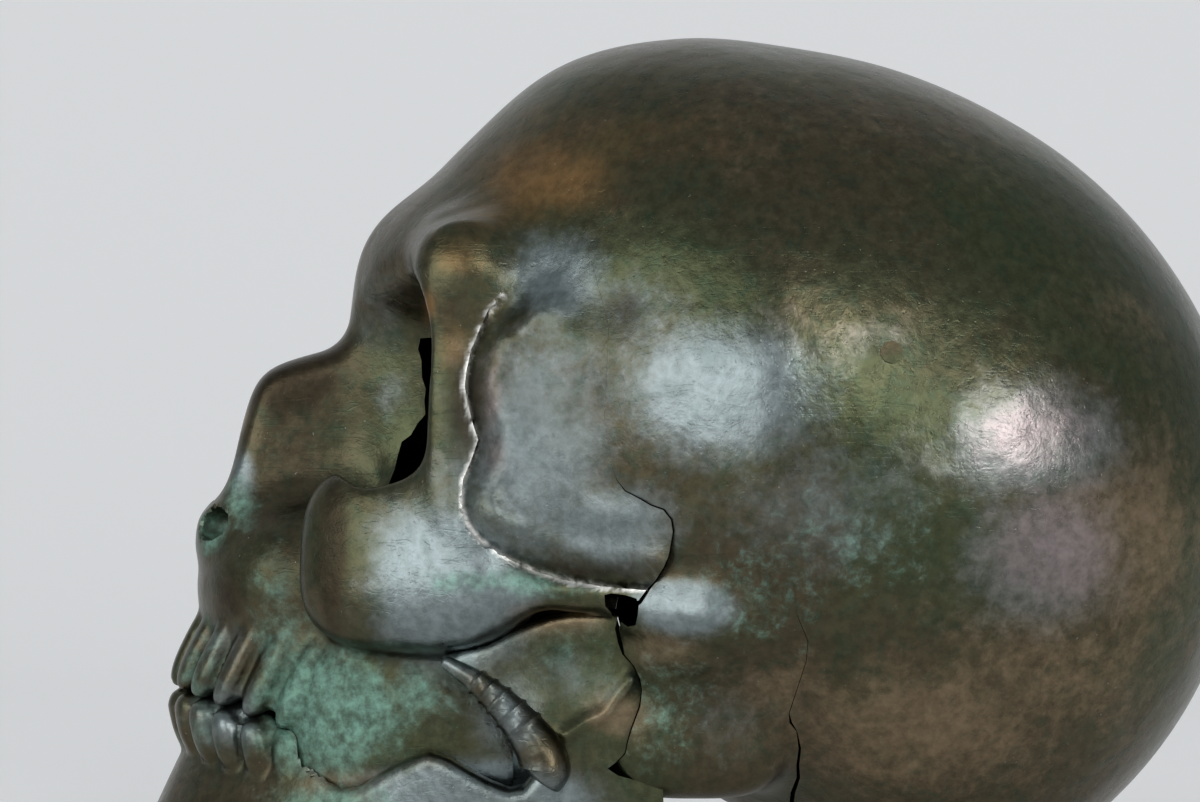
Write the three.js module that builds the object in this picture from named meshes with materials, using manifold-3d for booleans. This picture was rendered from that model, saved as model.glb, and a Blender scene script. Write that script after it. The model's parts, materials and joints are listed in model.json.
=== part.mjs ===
// A life-size human skull, cast in bronze as thin-walled sections. Each section laps or butts its
// neighbour, is held from inside by pinned backing straps, and is chased to one skin outside.
// Frame: the face looks along -X, the left side of the head is at -Y, +Z is up, and the table is z = 0.
import * as THREE from "three";
import { mergeVertices } from "three/addons/utils/BufferGeometryUtils.js";
import Module from "manifold-3d";

const wasm = await Module();
wasm.setup();

// Driving dimensions, in millimetres. The skull is in proportion to its brain case, so its other sizes
// are shares of the brain case's radius.
const vaultRadius = 90; // mean radius of the brain case, seen from the side
const vaultHalfBreadth = 73;
const wall = 3; // thickness of the cast sections
const jointGap = 0.4; // open joint between two sections

// Sculpting detail: how many times each edge of the icosahedron is split.
const skinDetail = 11;
const liningDetail = 7;
const faceCrowding = 0.33; // how strongly the facets crowd towards the face

// Lengths from their shares of the brain case's radius: a longShare of 0.3 gives a long of 27 mm.
function sized(shares) {
  return Object.fromEntries(
    Object.entries(shares).map(([name, share]) => [name.replace("Share", ""), share * vaultRadius]));
}

const standShare = 0.983; // height of the brain case's centre over the table
const vaultHeight = standShare * vaultRadius;

// Side view of the brain case: its radius every 15 degrees, counted from the back (+X) up over the top,
// as shares of the mean radius. The face hangs on it from 165 to 225 degrees.
const vaultOutlineShares = [
  1.04, 1.009, 0.974, 0.946, 0.928, 0.931, 0.952, 1.007, 1.053, 1.047, 1.061, 1.062,
  1.01, 0.93, 0.86, 0.81, 0.79, 0.79, 0.861, 1.027, 1.076, 1.079, 1.074, 1.061,
];
const vaultSquareness = 2.25; // exponent of the cross-section; 2 is a plain ellipse
const templeNarrowingShare = 0.24; // how much narrower the forehead is
const baseNarrowingShare = 0.2; // how much narrower the underside is

// Masses added to the brain case on each side. Places are [back, out, up] from the centre of the brain
// case; half sizes are [long, deep, tall].
const brow = { placeShares: [-0.9, 0.13, 0.35], endShares: [-0.79, 0.48, 0.36], radiusShare: 0.089, blendShare: 0.1 };
const lateralRim = {
  placeShares: [-0.775, 0.49, 0.33], endShares: [-0.785, 0.5, -0.02], radiusShare: 0.06, blendShare: 0.056,
};
const arch = { placeShares: [-0.66, 0.58, -0.3], endShares: [-0.3, 0.645, -0.31], radiusShare: 0.056, blendShare: 0.056 };
const archRoot = { placeShares: [-0.24, 0.58, -0.31], halfShares: [0.144, 0.122, 0.078], blendShare: 0.089 };
const mastoid = { placeShares: [-0.23, 0.47, -0.54], halfShares: [0.156, 0.133, 0.189], blendShare: 0.1 };
const upperJaw = { placeShares: [-1.07, 0, -0.29], halfShares: [0.3, 0.322, 0.278], blendShare: 0.089 };
const nasalSill = { placeShares: [-1.295, 0, -0.165], halfShares: [0.089, 0.122, 0.061], blendShare: 0.044 };
const cheek = {
  placeShares: [-0.842, 0.46, -0.215], halfShares: [0.262, 0.156, 0.208], blendShare: 0.056, squareness: 2.5,
};
const noseBridge = {
  placeShares: [-1.06, 0, 0.06], halfShares: [0.208, 0.172, 0.183], blendShare: 0.062, squareness: 4.5,
};
const gumBlock = {
  placeShares: [-1, 0, -0.43], halfShares: [0.36, 0.285, 0.111], blendShare: 0.05, squareness: 3.6,
};
const cheekWeb = {
  placeShares: [-0.78, 0, -0.56], halfShares: [0.35, 0.4, 0.172], blendShare: 0.078, squareness: 4,
};

// The eye openings, the cups behind them, and the pear-shaped nose opening.
const orbitPlaceShares = [-0.96, 0.35, 0.19];
const orbitTowards = new THREE.Vector3(-0.82, 0.55, 0.12);
const orbitSquareness = 2.7;
const orbit = sized({ halfWidthShare: 0.228, halfHeightShare: 0.233, depthShare: 0.222, reachShare: 0.444 });
const orbitCup = sized({
  backSetShare: 0.1, halfWidthShare: 0.261, halfHeightShare: 0.267, depthShare: 0.256, portRadiusShare: 0.089,
});
const orbitCupWall = 1.8;
const nosePlaceShares = [-1.17, 0, -0.045];
const noseOpening = sized({ halfWidthShare: 0.139, heightShare: 0.289, depthShare: 0.156, reachShare: 0.444 });
// Half of the pear, from the floor to the top: [half width, height] as shares of its sizes.
const pearShares = [[0, 0.05], [0.45, 0], [0.85, 0.12], [1, 0.32], [0.88, 0.55], [0.6, 0.8], [0.3, 0.96], [0, 1]];

// Joint lines in the side view, as [back, up] places.
const browJointShares = [[-1.35, 0.47], [-0.97, 0.49], [-0.81, 0.475], [-0.7, 0.42], [-0.655, 0.368]];
const templeRimShares = [
  [-0.655, 0.368], [-0.702, 0.303], [-0.734, 0.204], [-0.732, 0.139], [-0.708, 0.052], [-0.741, -0.036],
  [-0.741, -0.09], [-0.712, -0.156], [-0.637, -0.21], [-0.527, -0.254], [-0.44, -0.266], [-0.335, -0.275],
];
const templeBackShares = [
  [-0.335, -0.275], [-0.319, -0.256], [-0.29, -0.2], [-0.282, -0.146], [-0.301, -0.098], [-0.352, -0.08],
  [-0.407, -0.036], [-0.43, 0.1], [-0.42, 0.3], [-0.46, 0.45], [-0.53, 0.47], [-0.603, 0.44], [-0.655, 0.368],
];
const jawSeamShares = [
  [-0.335, -0.275], [-0.352, -0.3], [-0.407, -0.364], [-0.391, -0.419], [-0.352, -0.474], [-0.35, -0.518],
  [-0.369, -0.583], [-0.384, -0.639], [-0.422, -0.673], [-0.44, -1.1],
];
const earBackShares = [
  [-0.335, -0.275], [-0.26, -0.2], [-0.12, -0.19], [-0.02, -0.25], [-0.013, -0.324], [0.013, -0.386],
  [-0.002, -0.473], [-0.024, -0.549], [-0.009, -0.593], [0.002, -0.648], [-0.002, -0.713], [-0.02, -1.1],
];
// The small casting hole where the cheek arch meets the ear, seen from the side.
const archHoleShares = [[-0.428, -0.296], [-0.352, -0.3], [-0.35, -0.345], [-0.375, -0.356], [-0.41, -0.338]];

// Temple plate: it dips below the cheek arch and slips under the rim.
const templePlaceShares = [-0.58, 0.08];
const temple = sized({ dishDepthShare: 0.056, dishLongShare: 0.211, dishTallShare: 0.333, fadeShare: 0.244 });
const templeLap = 4;

// Lower jaw: a horseshoe in plan, cut to its side outline.
const jaw = sized({ halfLengthShare: 1.044, halfWidthShare: 0.556, thicknessShare: 0.117, heightShare: 0.667 });
const jawHingeShare = -0.45;
const jawSquareness = 1.8;
const chinNarrowingShare = 0.14; // how much narrower the jaw is at the teeth than at the table, in front
// Profile of the chin: [height over the table, distance the front is set back].
const chinLeanShares = [
  [0, 0.01], [0.11, -0.009], [0.19, 0.023], [0.29, 0.07], [0.34, 0.091], [0.39, 0.07], [0.42, 0.056], [0.46, 0.087],
];
const jawOutlineShares = [
  [-1.412, -0.522], [-1.44, -0.561], [-1.428, -0.597], [-1.407, -0.648], [-1.428, -0.689], [-1.474, -0.789],
  [-1.507, -0.872], [-1.492, -0.944],
];
const jawBottomShares = [-1.42, -0.51]; // where the flat lower edge starts and ends
const jawBackShares = [
  [-0.37, -0.94], [-0.29, -0.74], [-0.335, -0.583], [-0.35, -0.5], [-0.4, -0.38], [-0.43, -0.35],
  [-0.55, -0.34], [-0.68, -0.39], [-0.79, -0.43], [-0.72, -0.5], [-0.66, -0.55], [-0.61, -0.6],
  [-0.59, -0.69], [-0.641, -0.72], [-0.73, -0.68], [-0.819, -0.64], [-0.931, -0.692], [-1.02, -0.73],
  [-1.14, -0.61], [-1.24, -0.547], [-1.35, -0.525],
];
const dishPlaceShares = [-0.49, -0.43];
const dish = sized({ radiusShare: 0.244, depthShare: 0.033 }); // hollow on the jaw's branch

// Ribbed strut on the front edge of the jaw's branch: [back, up] places.
const strutPlaceShares = [
  [-0.79, -0.435], [-0.724, -0.48], [-0.659, -0.53], [-0.604, -0.586], [-0.564, -0.64], [-0.556, -0.69],
];
const strut = sized({ endRadiusShare: 0.0244, footRadiusShare: 0.067, proudShare: 0.0244 });

// Teeth: places round the dental arch, from the front backwards, in degrees from the midline.
const toothArchPlaceShare = -1.035;
const toothArch = sized({ halfLengthShare: 0.372, halfWidthShare: 0.317 });
const toothAngles = [7, 20, 33, 46, 59, 72];
const tooth = sized({ halfWidthShare: 0.039, halfDepthShare: 0.047 });
const toothSquareness = 3;
// Each tooth carries a root ridge on the gum, and leans back.
const upperTooth = sized({ halfHeightShare: 0.067, rootHalfHeightShare: 0.1, rootSetBackShare: 0.028 });
const lowerTooth = sized({ halfHeightShare: 0.061, rootHalfHeightShare: 0.089, rootSetBackShare: 0.011 });
const upperLean = 17;
const lowerLean = 12;
const rootSlimmingShare = 0.75;
const biteFrontShare = -0.522;
const biteBackShare = -0.64;

// Underside: an oval base section with the core opening in it.
const basePlaceShare = -0.48;
const base = sized({ halfLengthShare: 0.444, halfWidthShare: 0.344, topShare: 0.489, openingRadiusShare: 0.167 });
const coreOpeningShare = -0.27;

// Fastenings.
const strap = { length: 24, width: 9, thickness: 2 };
const pin = { radius: 1.5, clearance: 0.3, bite: 1.7, tail: 1, spacing: 14 };
const plug = { radius: 2.3, clearance: 0.3, tail: 1.2 };
const jawDowel = { radius: 2.2, clearance: 0.3 };
const dowelPlaceShares = [-0.55, -0.45];
const dowelReachShare = 0.094;

const overrun = vaultRadius * 0.67; // how far a cutter runs past what it cuts
const roundSides = 10;

// Bronze, as patinated: brown-green skin, greener in the hollows.
const bronze = new THREE.MeshStandardMaterial({ color: 0x4a4636, roughness: 0.38, metalness: 0.85 });
const greenBronze = new THREE.MeshStandardMaterial({ color: 0x46594c, roughness: 0.5, metalness: 0.7 });
const greyBronze = new THREE.MeshStandardMaterial({ color: 0x5d6362, roughness: 0.4, metalness: 0.85 });
const rawBronze = new THREE.MeshStandardMaterial({ color: 0x6b5636, roughness: 0.6, metalness: 0.8 });

const { clamp, degToRad, lerp, smoothstep } = THREE.MathUtils;
const heart = new THREE.Vector3(0, 0, vaultHeight);

// A point given in shares of the brain case's radius, on the side asked for (-1 left, 1 right).
function placeOf([back, out, up], side = 1) {
  return new THREE.Vector3(back * vaultRadius, side * out * vaultRadius, vaultHeight + up * vaultRadius);
}

function sidePoint([back, up]) {
  return new THREE.Vector2(back * vaultRadius, vaultHeight + up * vaultRadius);
}

// The outline's radius at an angle, by a smooth cubic through the listed shares.
function outlineRadius(angle) {
  const count = vaultOutlineShares.length;
  const turn = (((angle / (2 * Math.PI)) % 1) + 1) % 1;
  const step = Math.floor(turn * count);
  const t = turn * count - step;
  const [a, b, c, d] = [-1, 0, 1, 2].map((k) => vaultOutlineShares[(step + k + count) % count]);
  const share = b + 0.5 * t * (c - a + t * (2 * a - 5 * b + 4 * c - d + t * (3 * (b - c) + d - a)));
  return share * vaultRadius;
}

// Distance to the brain case: a squarish ellipse across, the listed outline along.
function vaultField(p) {
  const dx = p.x - heart.x;
  const dz = p.z - heart.z;
  const radius = outlineRadius(Math.atan2(dz, dx));
  const forward = smoothstep(-dx, 0, vaultRadius);
  const low = smoothstep(-dz, 0, vaultRadius);
  const breadth = vaultHalfBreadth * (1 - templeNarrowingShare * forward) * (1 - baseNarrowingShare * low);
  const along = Math.hypot(dx, dz) / radius;
  const across = Math.abs(p.y) / breadth;
  const n = vaultSquareness;
  const gauge = Math.pow(Math.pow(along, n) + Math.pow(across, n), 1 / n);
  const slope = Math.hypot(Math.pow(along, n - 1) / radius, Math.pow(across, n - 1) / breadth);
  return gauge > 0 ? (gauge - 1) / (slope * Math.pow(gauge, 1 - n)) : -vaultRadius;
}

// Distance to a rounded block with the mass's half sizes; squareness 2 is an ellipsoid.
function blockField(p, mass) {
  const at = placeOf(mass.placeShares);
  const half = mass.halfShares.map((share) => share * vaultRadius);
  const q = [p.x - at.x, Math.abs(p.y) - at.y, p.z - at.z].map((v, i) => Math.abs(v) / half[i]);
  const n = mass.squareness ?? 2;
  const gauge = Math.pow(q[0] ** n + q[1] ** n + q[2] ** n, 1 / n);
  const slope = Math.hypot(...q.map((v, i) => v ** (n - 1) / half[i]));
  return gauge > 0 ? (gauge - 1) / (slope * gauge ** (1 - n)) : -Math.min(...half);
}

// Distance to a round bar between the mass's two places.
function barField(p, mass) {
  const from = placeOf(mass.placeShares);
  const line = placeOf(mass.endShares).sub(from);
  const q = new THREE.Vector3(p.x, Math.abs(p.y), p.z).sub(from);
  const t = clamp(q.dot(line) / line.lengthSq(), 0, 1);
  return q.addScaledVector(line, -t).length() - mass.radiusShare * vaultRadius;
}

// Two distances joined with a soft fillet.
function join(a, b, blend) {
  const h = Math.max(blend - Math.abs(a - b), 0) / blend;
  return Math.min(a, b) - (h * h * blend) / 4;
}

// The whole head without its lower jaw.
function headField(p) {
  let d = vaultField(p);
  for (const mass of [cheek, archRoot, mastoid, brow, lateralRim, arch, noseBridge, upperJaw, nasalSill, gumBlock, cheekWeb]) {
    d = join(d, mass.halfShares ? blockField(p, mass) : barField(p, mass), mass.blendShare * vaultRadius);
  }
  return d;
}

// The temple plate lies one wall deeper than the rim that covers its front edge, is dished behind it,
// and comes up flush at its back and top.
function templeField(p) {
  const at = sidePoint(templePlaceShares);
  const back = sidePoint(templeBackShares[5]).x;
  const top = sidePoint(templeBackShares[10]).y;
  const clear = strap.length / 2;
  const fade = smoothstep(back - p.x, clear, clear + temple.fade) * smoothstep(top - p.z, 0, temple.fade);
  const dish = Math.exp(-(((p.x - at.x) / temple.dishLong) ** 2) - ((p.z - at.y) / temple.dishTall) ** 2);
  return headField(p) + (wall + jointGap) * fade + temple.dishDepth * dish * fade;
}

// Distance from the heart, along a direction, to where the field reaches minus the depth.
function reachOf(direction, depth, field) {
  const p = new THREE.Vector3();
  const value = (t) => field(p.copy(heart).addScaledVector(direction, t)) + depth;
  const step = vaultRadius / 45;
  let far = vaultRadius / 3;
  while (value(far) < 0) far += step;
  let near = far - step;
  for (let i = 0; i < 24; i++) {
    const middle = (near + far) / 2;
    if (value(middle) < 0) near = middle;
    else far = middle;
  }
  return near;
}

function toSolid(geometry) {
  geometry.deleteAttribute("normal");
  geometry.deleteAttribute("uv");
  const merged = mergeVertices(geometry, 1e-4);
  return new wasm.Manifold(new wasm.Mesh({
    numProp: 3,
    vertProperties: new Float32Array(merged.attributes.position.array),
    triVerts: new Uint32Array(merged.index.array),
  }));
}

// A sphere of clay pushed out to the field, or to a depth below it.
function moulded(detail, depth, field = headField) {
  const geometry = new THREE.IcosahedronGeometry(1, detail);
  const position = geometry.getAttribute("position");
  const reaches = new Map();
  const direction = new THREE.Vector3();
  for (let i = 0; i < position.count; i++) {
    direction.fromBufferAttribute(position, i);
    direction.x -= faceCrowding;
    direction.normalize();
    const key = direction.toArray().map((v) => v.toFixed(5)).join();
    if (!reaches.has(key)) reaches.set(key, reachOf(direction, depth, field));
    direction.multiplyScalar(reaches.get(key)).add(heart);
    position.setXYZ(i, direction.x, direction.y, direction.z);
  }
  return toSolid(geometry);
}

function extrude(points, depth) {
  return new THREE.ExtrudeGeometry(new THREE.Shape(points), { depth, bevelEnabled: false });
}

// A side outline run through the whole breadth of the head.
function sidePrism(points) {
  const breadth = 2 * (vaultHalfBreadth + overrun);
  return toSolid(extrude(points, breadth).rotateX(Math.PI / 2).translate(0, breadth / 2, 0));
}

function planPrism(points, low, high) {
  return toSolid(extrude(points, high - low).translate(0, 0, low));
}

// The strip of a joint line, as wide as the open joint.
function kerf(points) {
  const half = jointGap / 2;
  const edge = (side) =>
    points.map((p, i) => {
      const before = points[Math.max(i - 1, 0)];
      const after = points[Math.min(i + 1, points.length - 1)];
      const across = after.clone().sub(before).normalize().multiplyScalar(half * side);
      return new THREE.Vector2(p.x - across.y, p.y + across.x);
    });
  return sidePrism([...edge(1), ...edge(-1).reverse()]);
}

function ellipsePoints(centreX, halfLength, halfWidth, squareness = 2, sides = 40) {
  return Array.from({ length: sides }, (_, i) => {
    const angle = (2 * Math.PI * i) / sides;
    const round = (v) => Math.sign(v) * Math.abs(v) ** (2 / squareness);
    return new THREE.Vector2(centreX + halfLength * round(Math.cos(angle)), halfWidth * round(Math.sin(angle)));
  });
}

// Everything on one side of the midline, short of it by the joint gap.
function halfOf(solid, side) {
  const size = 2 * (vaultRadius + overrun);
  const box = new THREE.BoxGeometry(2 * size, size, 2 * size).translate(0, side * (size / 2 + jointGap / 2), 0);
  return solid.intersect(toSolid(box));
}

// A cut can leave chips beside the piece; the piece is the largest body.
function mainBody(solid) {
  return solid.decompose().sort((a, b) => b.volume() - a.volume())[0];
}

const group = new THREE.Group();

function add(name, solid, material) {
  const mesh = mainBody(solid).getMesh();
  const vertices = new Float32Array(mesh.numVert * 3);
  for (let i = 0; i < mesh.numVert; i++) {
    vertices.set(mesh.vertProperties.subarray(i * mesh.numProp, i * mesh.numProp + 3), i * 3);
  }
  const geometry = new THREE.BufferGeometry()
    .setAttribute("position", new THREE.BufferAttribute(vertices, 3))
    .setIndex(new THREE.BufferAttribute(new Uint32Array(mesh.triVerts), 1));
  geometry.computeVertexNormals();
  const part = new THREE.Mesh(geometry, material);
  part.name = name;
  group.add(part);
}

const sides = { left: -1, right: 1 };

// The head's skin, its lining, and the hollow that everything inside it keeps clear of.
const skin = moulded(skinDetail, 0);
const lining = moulded(liningDetail, wall);
const shell = skin.subtract(lining);
const hollow = moulded(liningDetail, wall + jointGap);
const strapHollow = moulded(liningDetail, wall + jointGap + strap.thickness);

// Side-view regions of the castings.
const browJoint = browJointShares.map(sidePoint);
const templeRim = templeRimShares.map(sidePoint);
const templeBack = templeBackShares.map(sidePoint);
const jawSeam = jawSeamShares.map(sidePoint);
const earBack = earBackShares.map(sidePoint);
const farFront = browJoint[0].x - overrun;
const farLow = jawSeam.at(-1).y - overrun;

const faceRegion = sidePrism([
  ...browJoint, ...templeRim.slice(1), ...jawSeam.slice(1),
  new THREE.Vector2(jawSeam.at(-1).x, farLow), new THREE.Vector2(farFront, farLow),
  new THREE.Vector2(farFront, browJoint[0].y),
]);
const templeRegion = sidePrism([...templeRim, ...templeBack.slice(1, -1)]);
const earRegion = sidePrism([...jawSeam, ...earBack.slice(1).reverse()]);
const seams = wasm.Manifold.union([browJoint, templeRim, templeBack, jawSeam, earBack].map(kerf));
const baseCentre = basePlaceShare * vaultRadius;
const baseOval = (grow) =>
  planPrism(ellipsePoints(baseCentre, base.halfLength + grow, base.halfWidth + grow), -overrun, base.top + grow);
const baseRegion = baseOval(-jointGap / 2);
const baseClearance = baseOval(jointGap / 2);
const table = new THREE.BoxGeometry(1, 1, 1).scale(8 * vaultRadius, 8 * vaultRadius, overrun);
const belowTable = toSolid(table.translate(0, 0, -overrun / 2));

// Temple plates: their front edge runs on under the rim by the lap.
const rimLap = templeRim.map((p, i) => {
  const before = templeRim[Math.max(i - 1, 0)];
  const after = templeRim[Math.min(i + 1, templeRim.length - 1)];
  const along = after.clone().sub(before).normalize();
  const inward = i === 0 || i === templeRim.length - 1 ? 0 : templeLap;
  return new THREE.Vector2(p.x + along.y * inward, p.y - along.x * inward);
});
const templeLapRegion = sidePrism([...rimLap, ...templeBack.slice(1, -1)]);
const templeRoom = templeLapRegion.subtract(moulded(liningDetail, wall + jointGap, templeField));

// Eye openings: a rounded square cut square to the way each eye looks.
function eyeFrame(side) {
  const towards = orbitTowards.clone().multiply(new THREE.Vector3(1, side, 1)).normalize();
  const across = new THREE.Vector3(0, 0, 1).cross(towards).normalize();
  const up = towards.clone().cross(across);
  return new THREE.Matrix4().makeBasis(across, up, towards).setPosition(placeOf(orbitPlaceShares, side));
}

function eyeCutter(side) {
  const outline = ellipsePoints(0, orbit.halfWidth, orbit.halfHeight, orbitSquareness, 28);
  const geometry = extrude(outline, orbit.depth + orbit.reach).translate(0, 0, -orbit.depth);
  return toSolid(geometry.applyMatrix4(eyeFrame(side)));
}

function eyeCup(side) {
  const bowl = (inset) =>
    toSolid(new THREE.SphereGeometry(1, 14, 9)
      .scale(orbitCup.halfWidth - inset, orbitCup.halfHeight - inset, orbitCup.depth - inset)
      .translate(0, 0, -orbitCup.backSet)
      .applyMatrix4(eyeFrame(side)));
  const port = toSolid(new THREE.SphereGeometry(orbitCup.portRadius, 12, 8)
    .translate(orbitCup.halfWidth * side * 0.4, -orbitCup.halfHeight / 3, -orbitCup.depth - orbitCup.backSet / 2)
    .applyMatrix4(eyeFrame(side)));
  const cup = bowl(0).subtract(bowl(orbitCupWall)).subtract(port).intersect(hollow);
  return halfOf(cup.subtract(templeRoom), side);
}

function noseCutter() {
  const at = placeOf(nosePlaceShares);
  const half = pearShares.map(([w, h]) => [w * noseOpening.halfWidth, h * noseOpening.height]);
  const other = half.slice(1, -1).reverse().map(([w, h]) => [-w, h]);
  const pear = [...half, ...other].map(([w, h]) => new THREE.Vector2(w, h - noseOpening.height / 2));
  const frontView = new THREE.Matrix4().makeBasis(
    new THREE.Vector3(0, 1, 0), new THREE.Vector3(0, 0, 1), new THREE.Vector3(1, 0, 0));
  return toSolid(extrude(pear, noseOpening.depth + noseOpening.reach)
    .translate(0, 0, -noseOpening.reach)
    .applyMatrix4(frontView.setPosition(at)));
}

// A rounded block, squarer than a ball.
function pebble(squareness) {
  const geometry = new THREE.SphereGeometry(1, 8, 6);
  const position = geometry.getAttribute("position");
  const q = new THREE.Vector3();
  for (let i = 0; i < position.count; i++) {
    q.fromBufferAttribute(position, i);
    const gauge = [q.x, q.y, q.z].reduce((sum, v) => sum + Math.abs(v) ** squareness, 0);
    q.divideScalar(gauge ** (1 / squareness));
    position.setXYZ(i, q.x, q.y, q.z);
  }
  return geometry;
}

// One tooth with its root ridge, standing on the dental arch, leaning back, turned to face outwards.
function toothSolid(angleDeg, side, kind, up, leanDeg) {
  const angle = degToRad(angleDeg) * side;
  const x = toothArchPlaceShare * vaultRadius - toothArch.halfLength * Math.cos(angle);
  const facing = Math.atan2(toothArch.halfLength * Math.sin(angle), toothArch.halfWidth * Math.cos(angle));
  const back = 1 - Math.cos(angle);
  const foot = vaultHeight + lerp(biteFrontShare, biteBackShare, back) * vaultRadius + up * (jointGap / 2);
  const stand = (geometry, height, setBack) =>
    toSolid(geometry
      .translate(setBack, 0, height)
      .rotateY(up * degToRad(leanDeg))
      .rotateZ(-facing)
      .translate(x, toothArch.halfWidth * Math.sin(angle), foot));
  const crown = pebble(toothSquareness).scale(tooth.halfDepth, tooth.halfWidth, kind.halfHeight);
  const root = pebble(2).scale(
    tooth.halfDepth * rootSlimmingShare, tooth.halfWidth * rootSlimmingShare, kind.rootHalfHeight);
  return stand(crown, up * kind.halfHeight, 0)
    .add(stand(root, up * (kind.halfHeight + kind.rootHalfHeight), kind.rootSetBack));
}

function teeth(kind, up, leanDeg) {
  return wasm.Manifold.union(toothAngles.flatMap((angle) =>
    Object.values(sides).map((side) => toothSolid(angle, side, kind, up, leanDeg))));
}

const upperTeeth = teeth(upperTooth, 1, upperLean);
const lowerTeeth = teeth(lowerTooth, -1, lowerLean);

// Skin point, outward normal and a direction across the joint, at a side-view place.
function skinPoint(shares, side, across = [1, 0]) {
  const at = sidePoint(shares);
  const p = new THREE.Vector3(at.x, 0, at.y);
  const step = vaultRadius / 90;
  while (headField(p) < 0) p.y += side * step;
  p.y -= (side * step) / 2;
  return skinFrame(p, new THREE.Vector3(across[0], 0, across[1]));
}

// A frame on the skin near p: X across the joint, Z out of the metal.
function skinFrame(p, across) {
  const h = jointGap;
  const slope = (axis) => headField(p.clone().addScaledVector(axis, h)) - headField(p.clone().addScaledVector(axis, -h));
  const normal = new THREE.Vector3(
    slope(new THREE.Vector3(1, 0, 0)), slope(new THREE.Vector3(0, 1, 0)), slope(new THREE.Vector3(0, 0, 1)),
  ).normalize();
  const onSkin = p.clone().addScaledVector(normal, -headField(p));
  const x = across.clone().addScaledVector(normal, -across.dot(normal)).normalize();
  return new THREE.Matrix4().makeBasis(x, normal.clone().cross(x), normal).setPosition(onSkin);
}

const straps = [];
const pins = [];

// A backing strap behind a joint, with a pin on each side of it, driven from inside.
function addStrap(name, frame) {
  const strapDepth = wall + jointGap + strap.thickness;
  const box = new THREE.BoxGeometry(strap.length, strap.width, 2 * strapDepth)
    .translate(0, 0, -strapDepth)
    .applyMatrix4(frame);
  straps.push({ name, solid: hollow.subtract(strapHollow).intersect(toSolid(box)) });
  const across = new THREE.Vector3().setFromMatrixColumn(frame, 0);
  for (const end of [-1, 1]) {
    const near = new THREE.Vector3((end * pin.spacing) / 2, 0, 0).applyMatrix4(frame);
    const pinFrame = skinFrame(near, across);
    const length = strapDepth + pin.tail - (wall - pin.bite);
    const cylinder = (radius, extra) =>
      toSolid(new THREE.CylinderGeometry(radius, radius, length + extra, roundSides)
        .rotateX(Math.PI / 2)
        .translate(0, 0, -(wall - pin.bite) - length / 2)
        .applyMatrix4(pinFrame));
    const label = end < 0 ? "front" : "back";
    pins.push({
      name: `${name.replace("_strap", "_pin")}_${label}`,
      solid: cylinder(pin.radius, 0),
      hole: cylinder(pin.radius + pin.clearance, 2 * pin.clearance),
    });
  }
}

for (const [sideName, side] of Object.entries(sides)) {
  addStrap(`temple_strap_${sideName}`, skinPoint(templeBackShares[3], side, [1, 0]));
  addStrap(`jaw_seam_strap_${sideName}`, skinPoint(jawSeamShares[6], side, [1, 0]));
  addStrap(`ear_strap_${sideName}`, skinPoint(earBackShares[6], side, [1, 0]));
}
const browPoint = sidePoint(browJointShares[1]);
addStrap("brow_strap", skinFrame(new THREE.Vector3(browPoint.x, 0, browPoint.y), new THREE.Vector3(0, 0, 1)));
for (const [label, end] of [["front", -1], ["back", 1]]) {
  const x = baseCentre + end * base.halfLength;
  const p = new THREE.Vector3(x, 0, vaultHeight / 2);
  while (headField(p) < 0) p.z -= jointGap;
  addStrap(`base_strap_${label}`, skinFrame(p, new THREE.Vector3(1, 0, 0)));
}
const pinHoles = wasm.Manifold.union(pins.map((p) => p.hole));

// Plugs that close the holes left by the core's supports.
const plugShares = { front: [-0.106, 0.478], top: [0.146, 0.793], back: [0.191, 0.244], low: [0.36, -0.3] };
const plugs = Object.entries(sides).flatMap(([sideName, side]) =>
  Object.entries(plugShares).map(([label, shares]) => {
    const frame = skinPoint(shares, side);
    const cylinder = (radius, length) =>
      toSolid(new THREE.CylinderGeometry(radius, radius, length, roundSides)
        .rotateX(Math.PI / 2)
        .translate(0, 0, wall - length / 2)
        .applyMatrix4(frame));
    return {
      name: `core_plug_${label}_${sideName}`,
      solid: cylinder(plug.radius, 2 * wall + plug.tail).intersect(skin),
      hole: cylinder(plug.radius + plug.clearance, 4 * wall),
    };
  }));
const plugHoles = wasm.Manifold.union(plugs.map((p) => p.hole));

// Dowels between the jaw's branches and the head.
const dowels = Object.entries(sides).map(([sideName, side]) => {
  const frame = skinPoint(dowelPlaceShares, side);
  const reach = dowelReachShare * vaultRadius;
  const length = wall + reach + pin.tail;
  const cylinder = (radius, extra) =>
    toSolid(new THREE.CylinderGeometry(radius, radius, length + extra, roundSides)
      .rotateX(Math.PI / 2)
      .translate(0, 0, reach - length / 2)
      .applyMatrix4(frame));
  return {
    name: `jaw_dowel_${sideName}`,
    solid: cylinder(jawDowel.radius, 0),
    hole: cylinder(jawDowel.radius + jawDowel.clearance, 2 * jawDowel.clearance),
  };
});
const dowelHoles = wasm.Manifold.union(dowels.map((d) => d.hole));

// Castings.
const holed = shell.subtract(pinHoles).subtract(plugHoles).subtract(dowelHoles).subtract(belowTable);
const openings = wasm.Manifold.union([eyeCutter(-1), eyeCutter(1), noseCutter(), sidePrism(archHoleShares.map(sidePoint))]);

add("cranium_casting", holed.subtract(faceRegion).subtract(templeRegion).subtract(earRegion)
  .subtract(seams).subtract(baseClearance), bronze);
const faceShell = holed.intersect(faceRegion).subtract(seams).subtract(baseClearance).subtract(openings);
add("face_casting", faceShell.add(upperTeeth.subtract(lining)), bronze);
add("base_casting", holed.intersect(baseRegion).subtract(planPrism(
  ellipsePoints(coreOpeningShare * vaultRadius, base.openingRadius, base.openingRadius), -overrun, base.top)), rawBronze);

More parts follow.
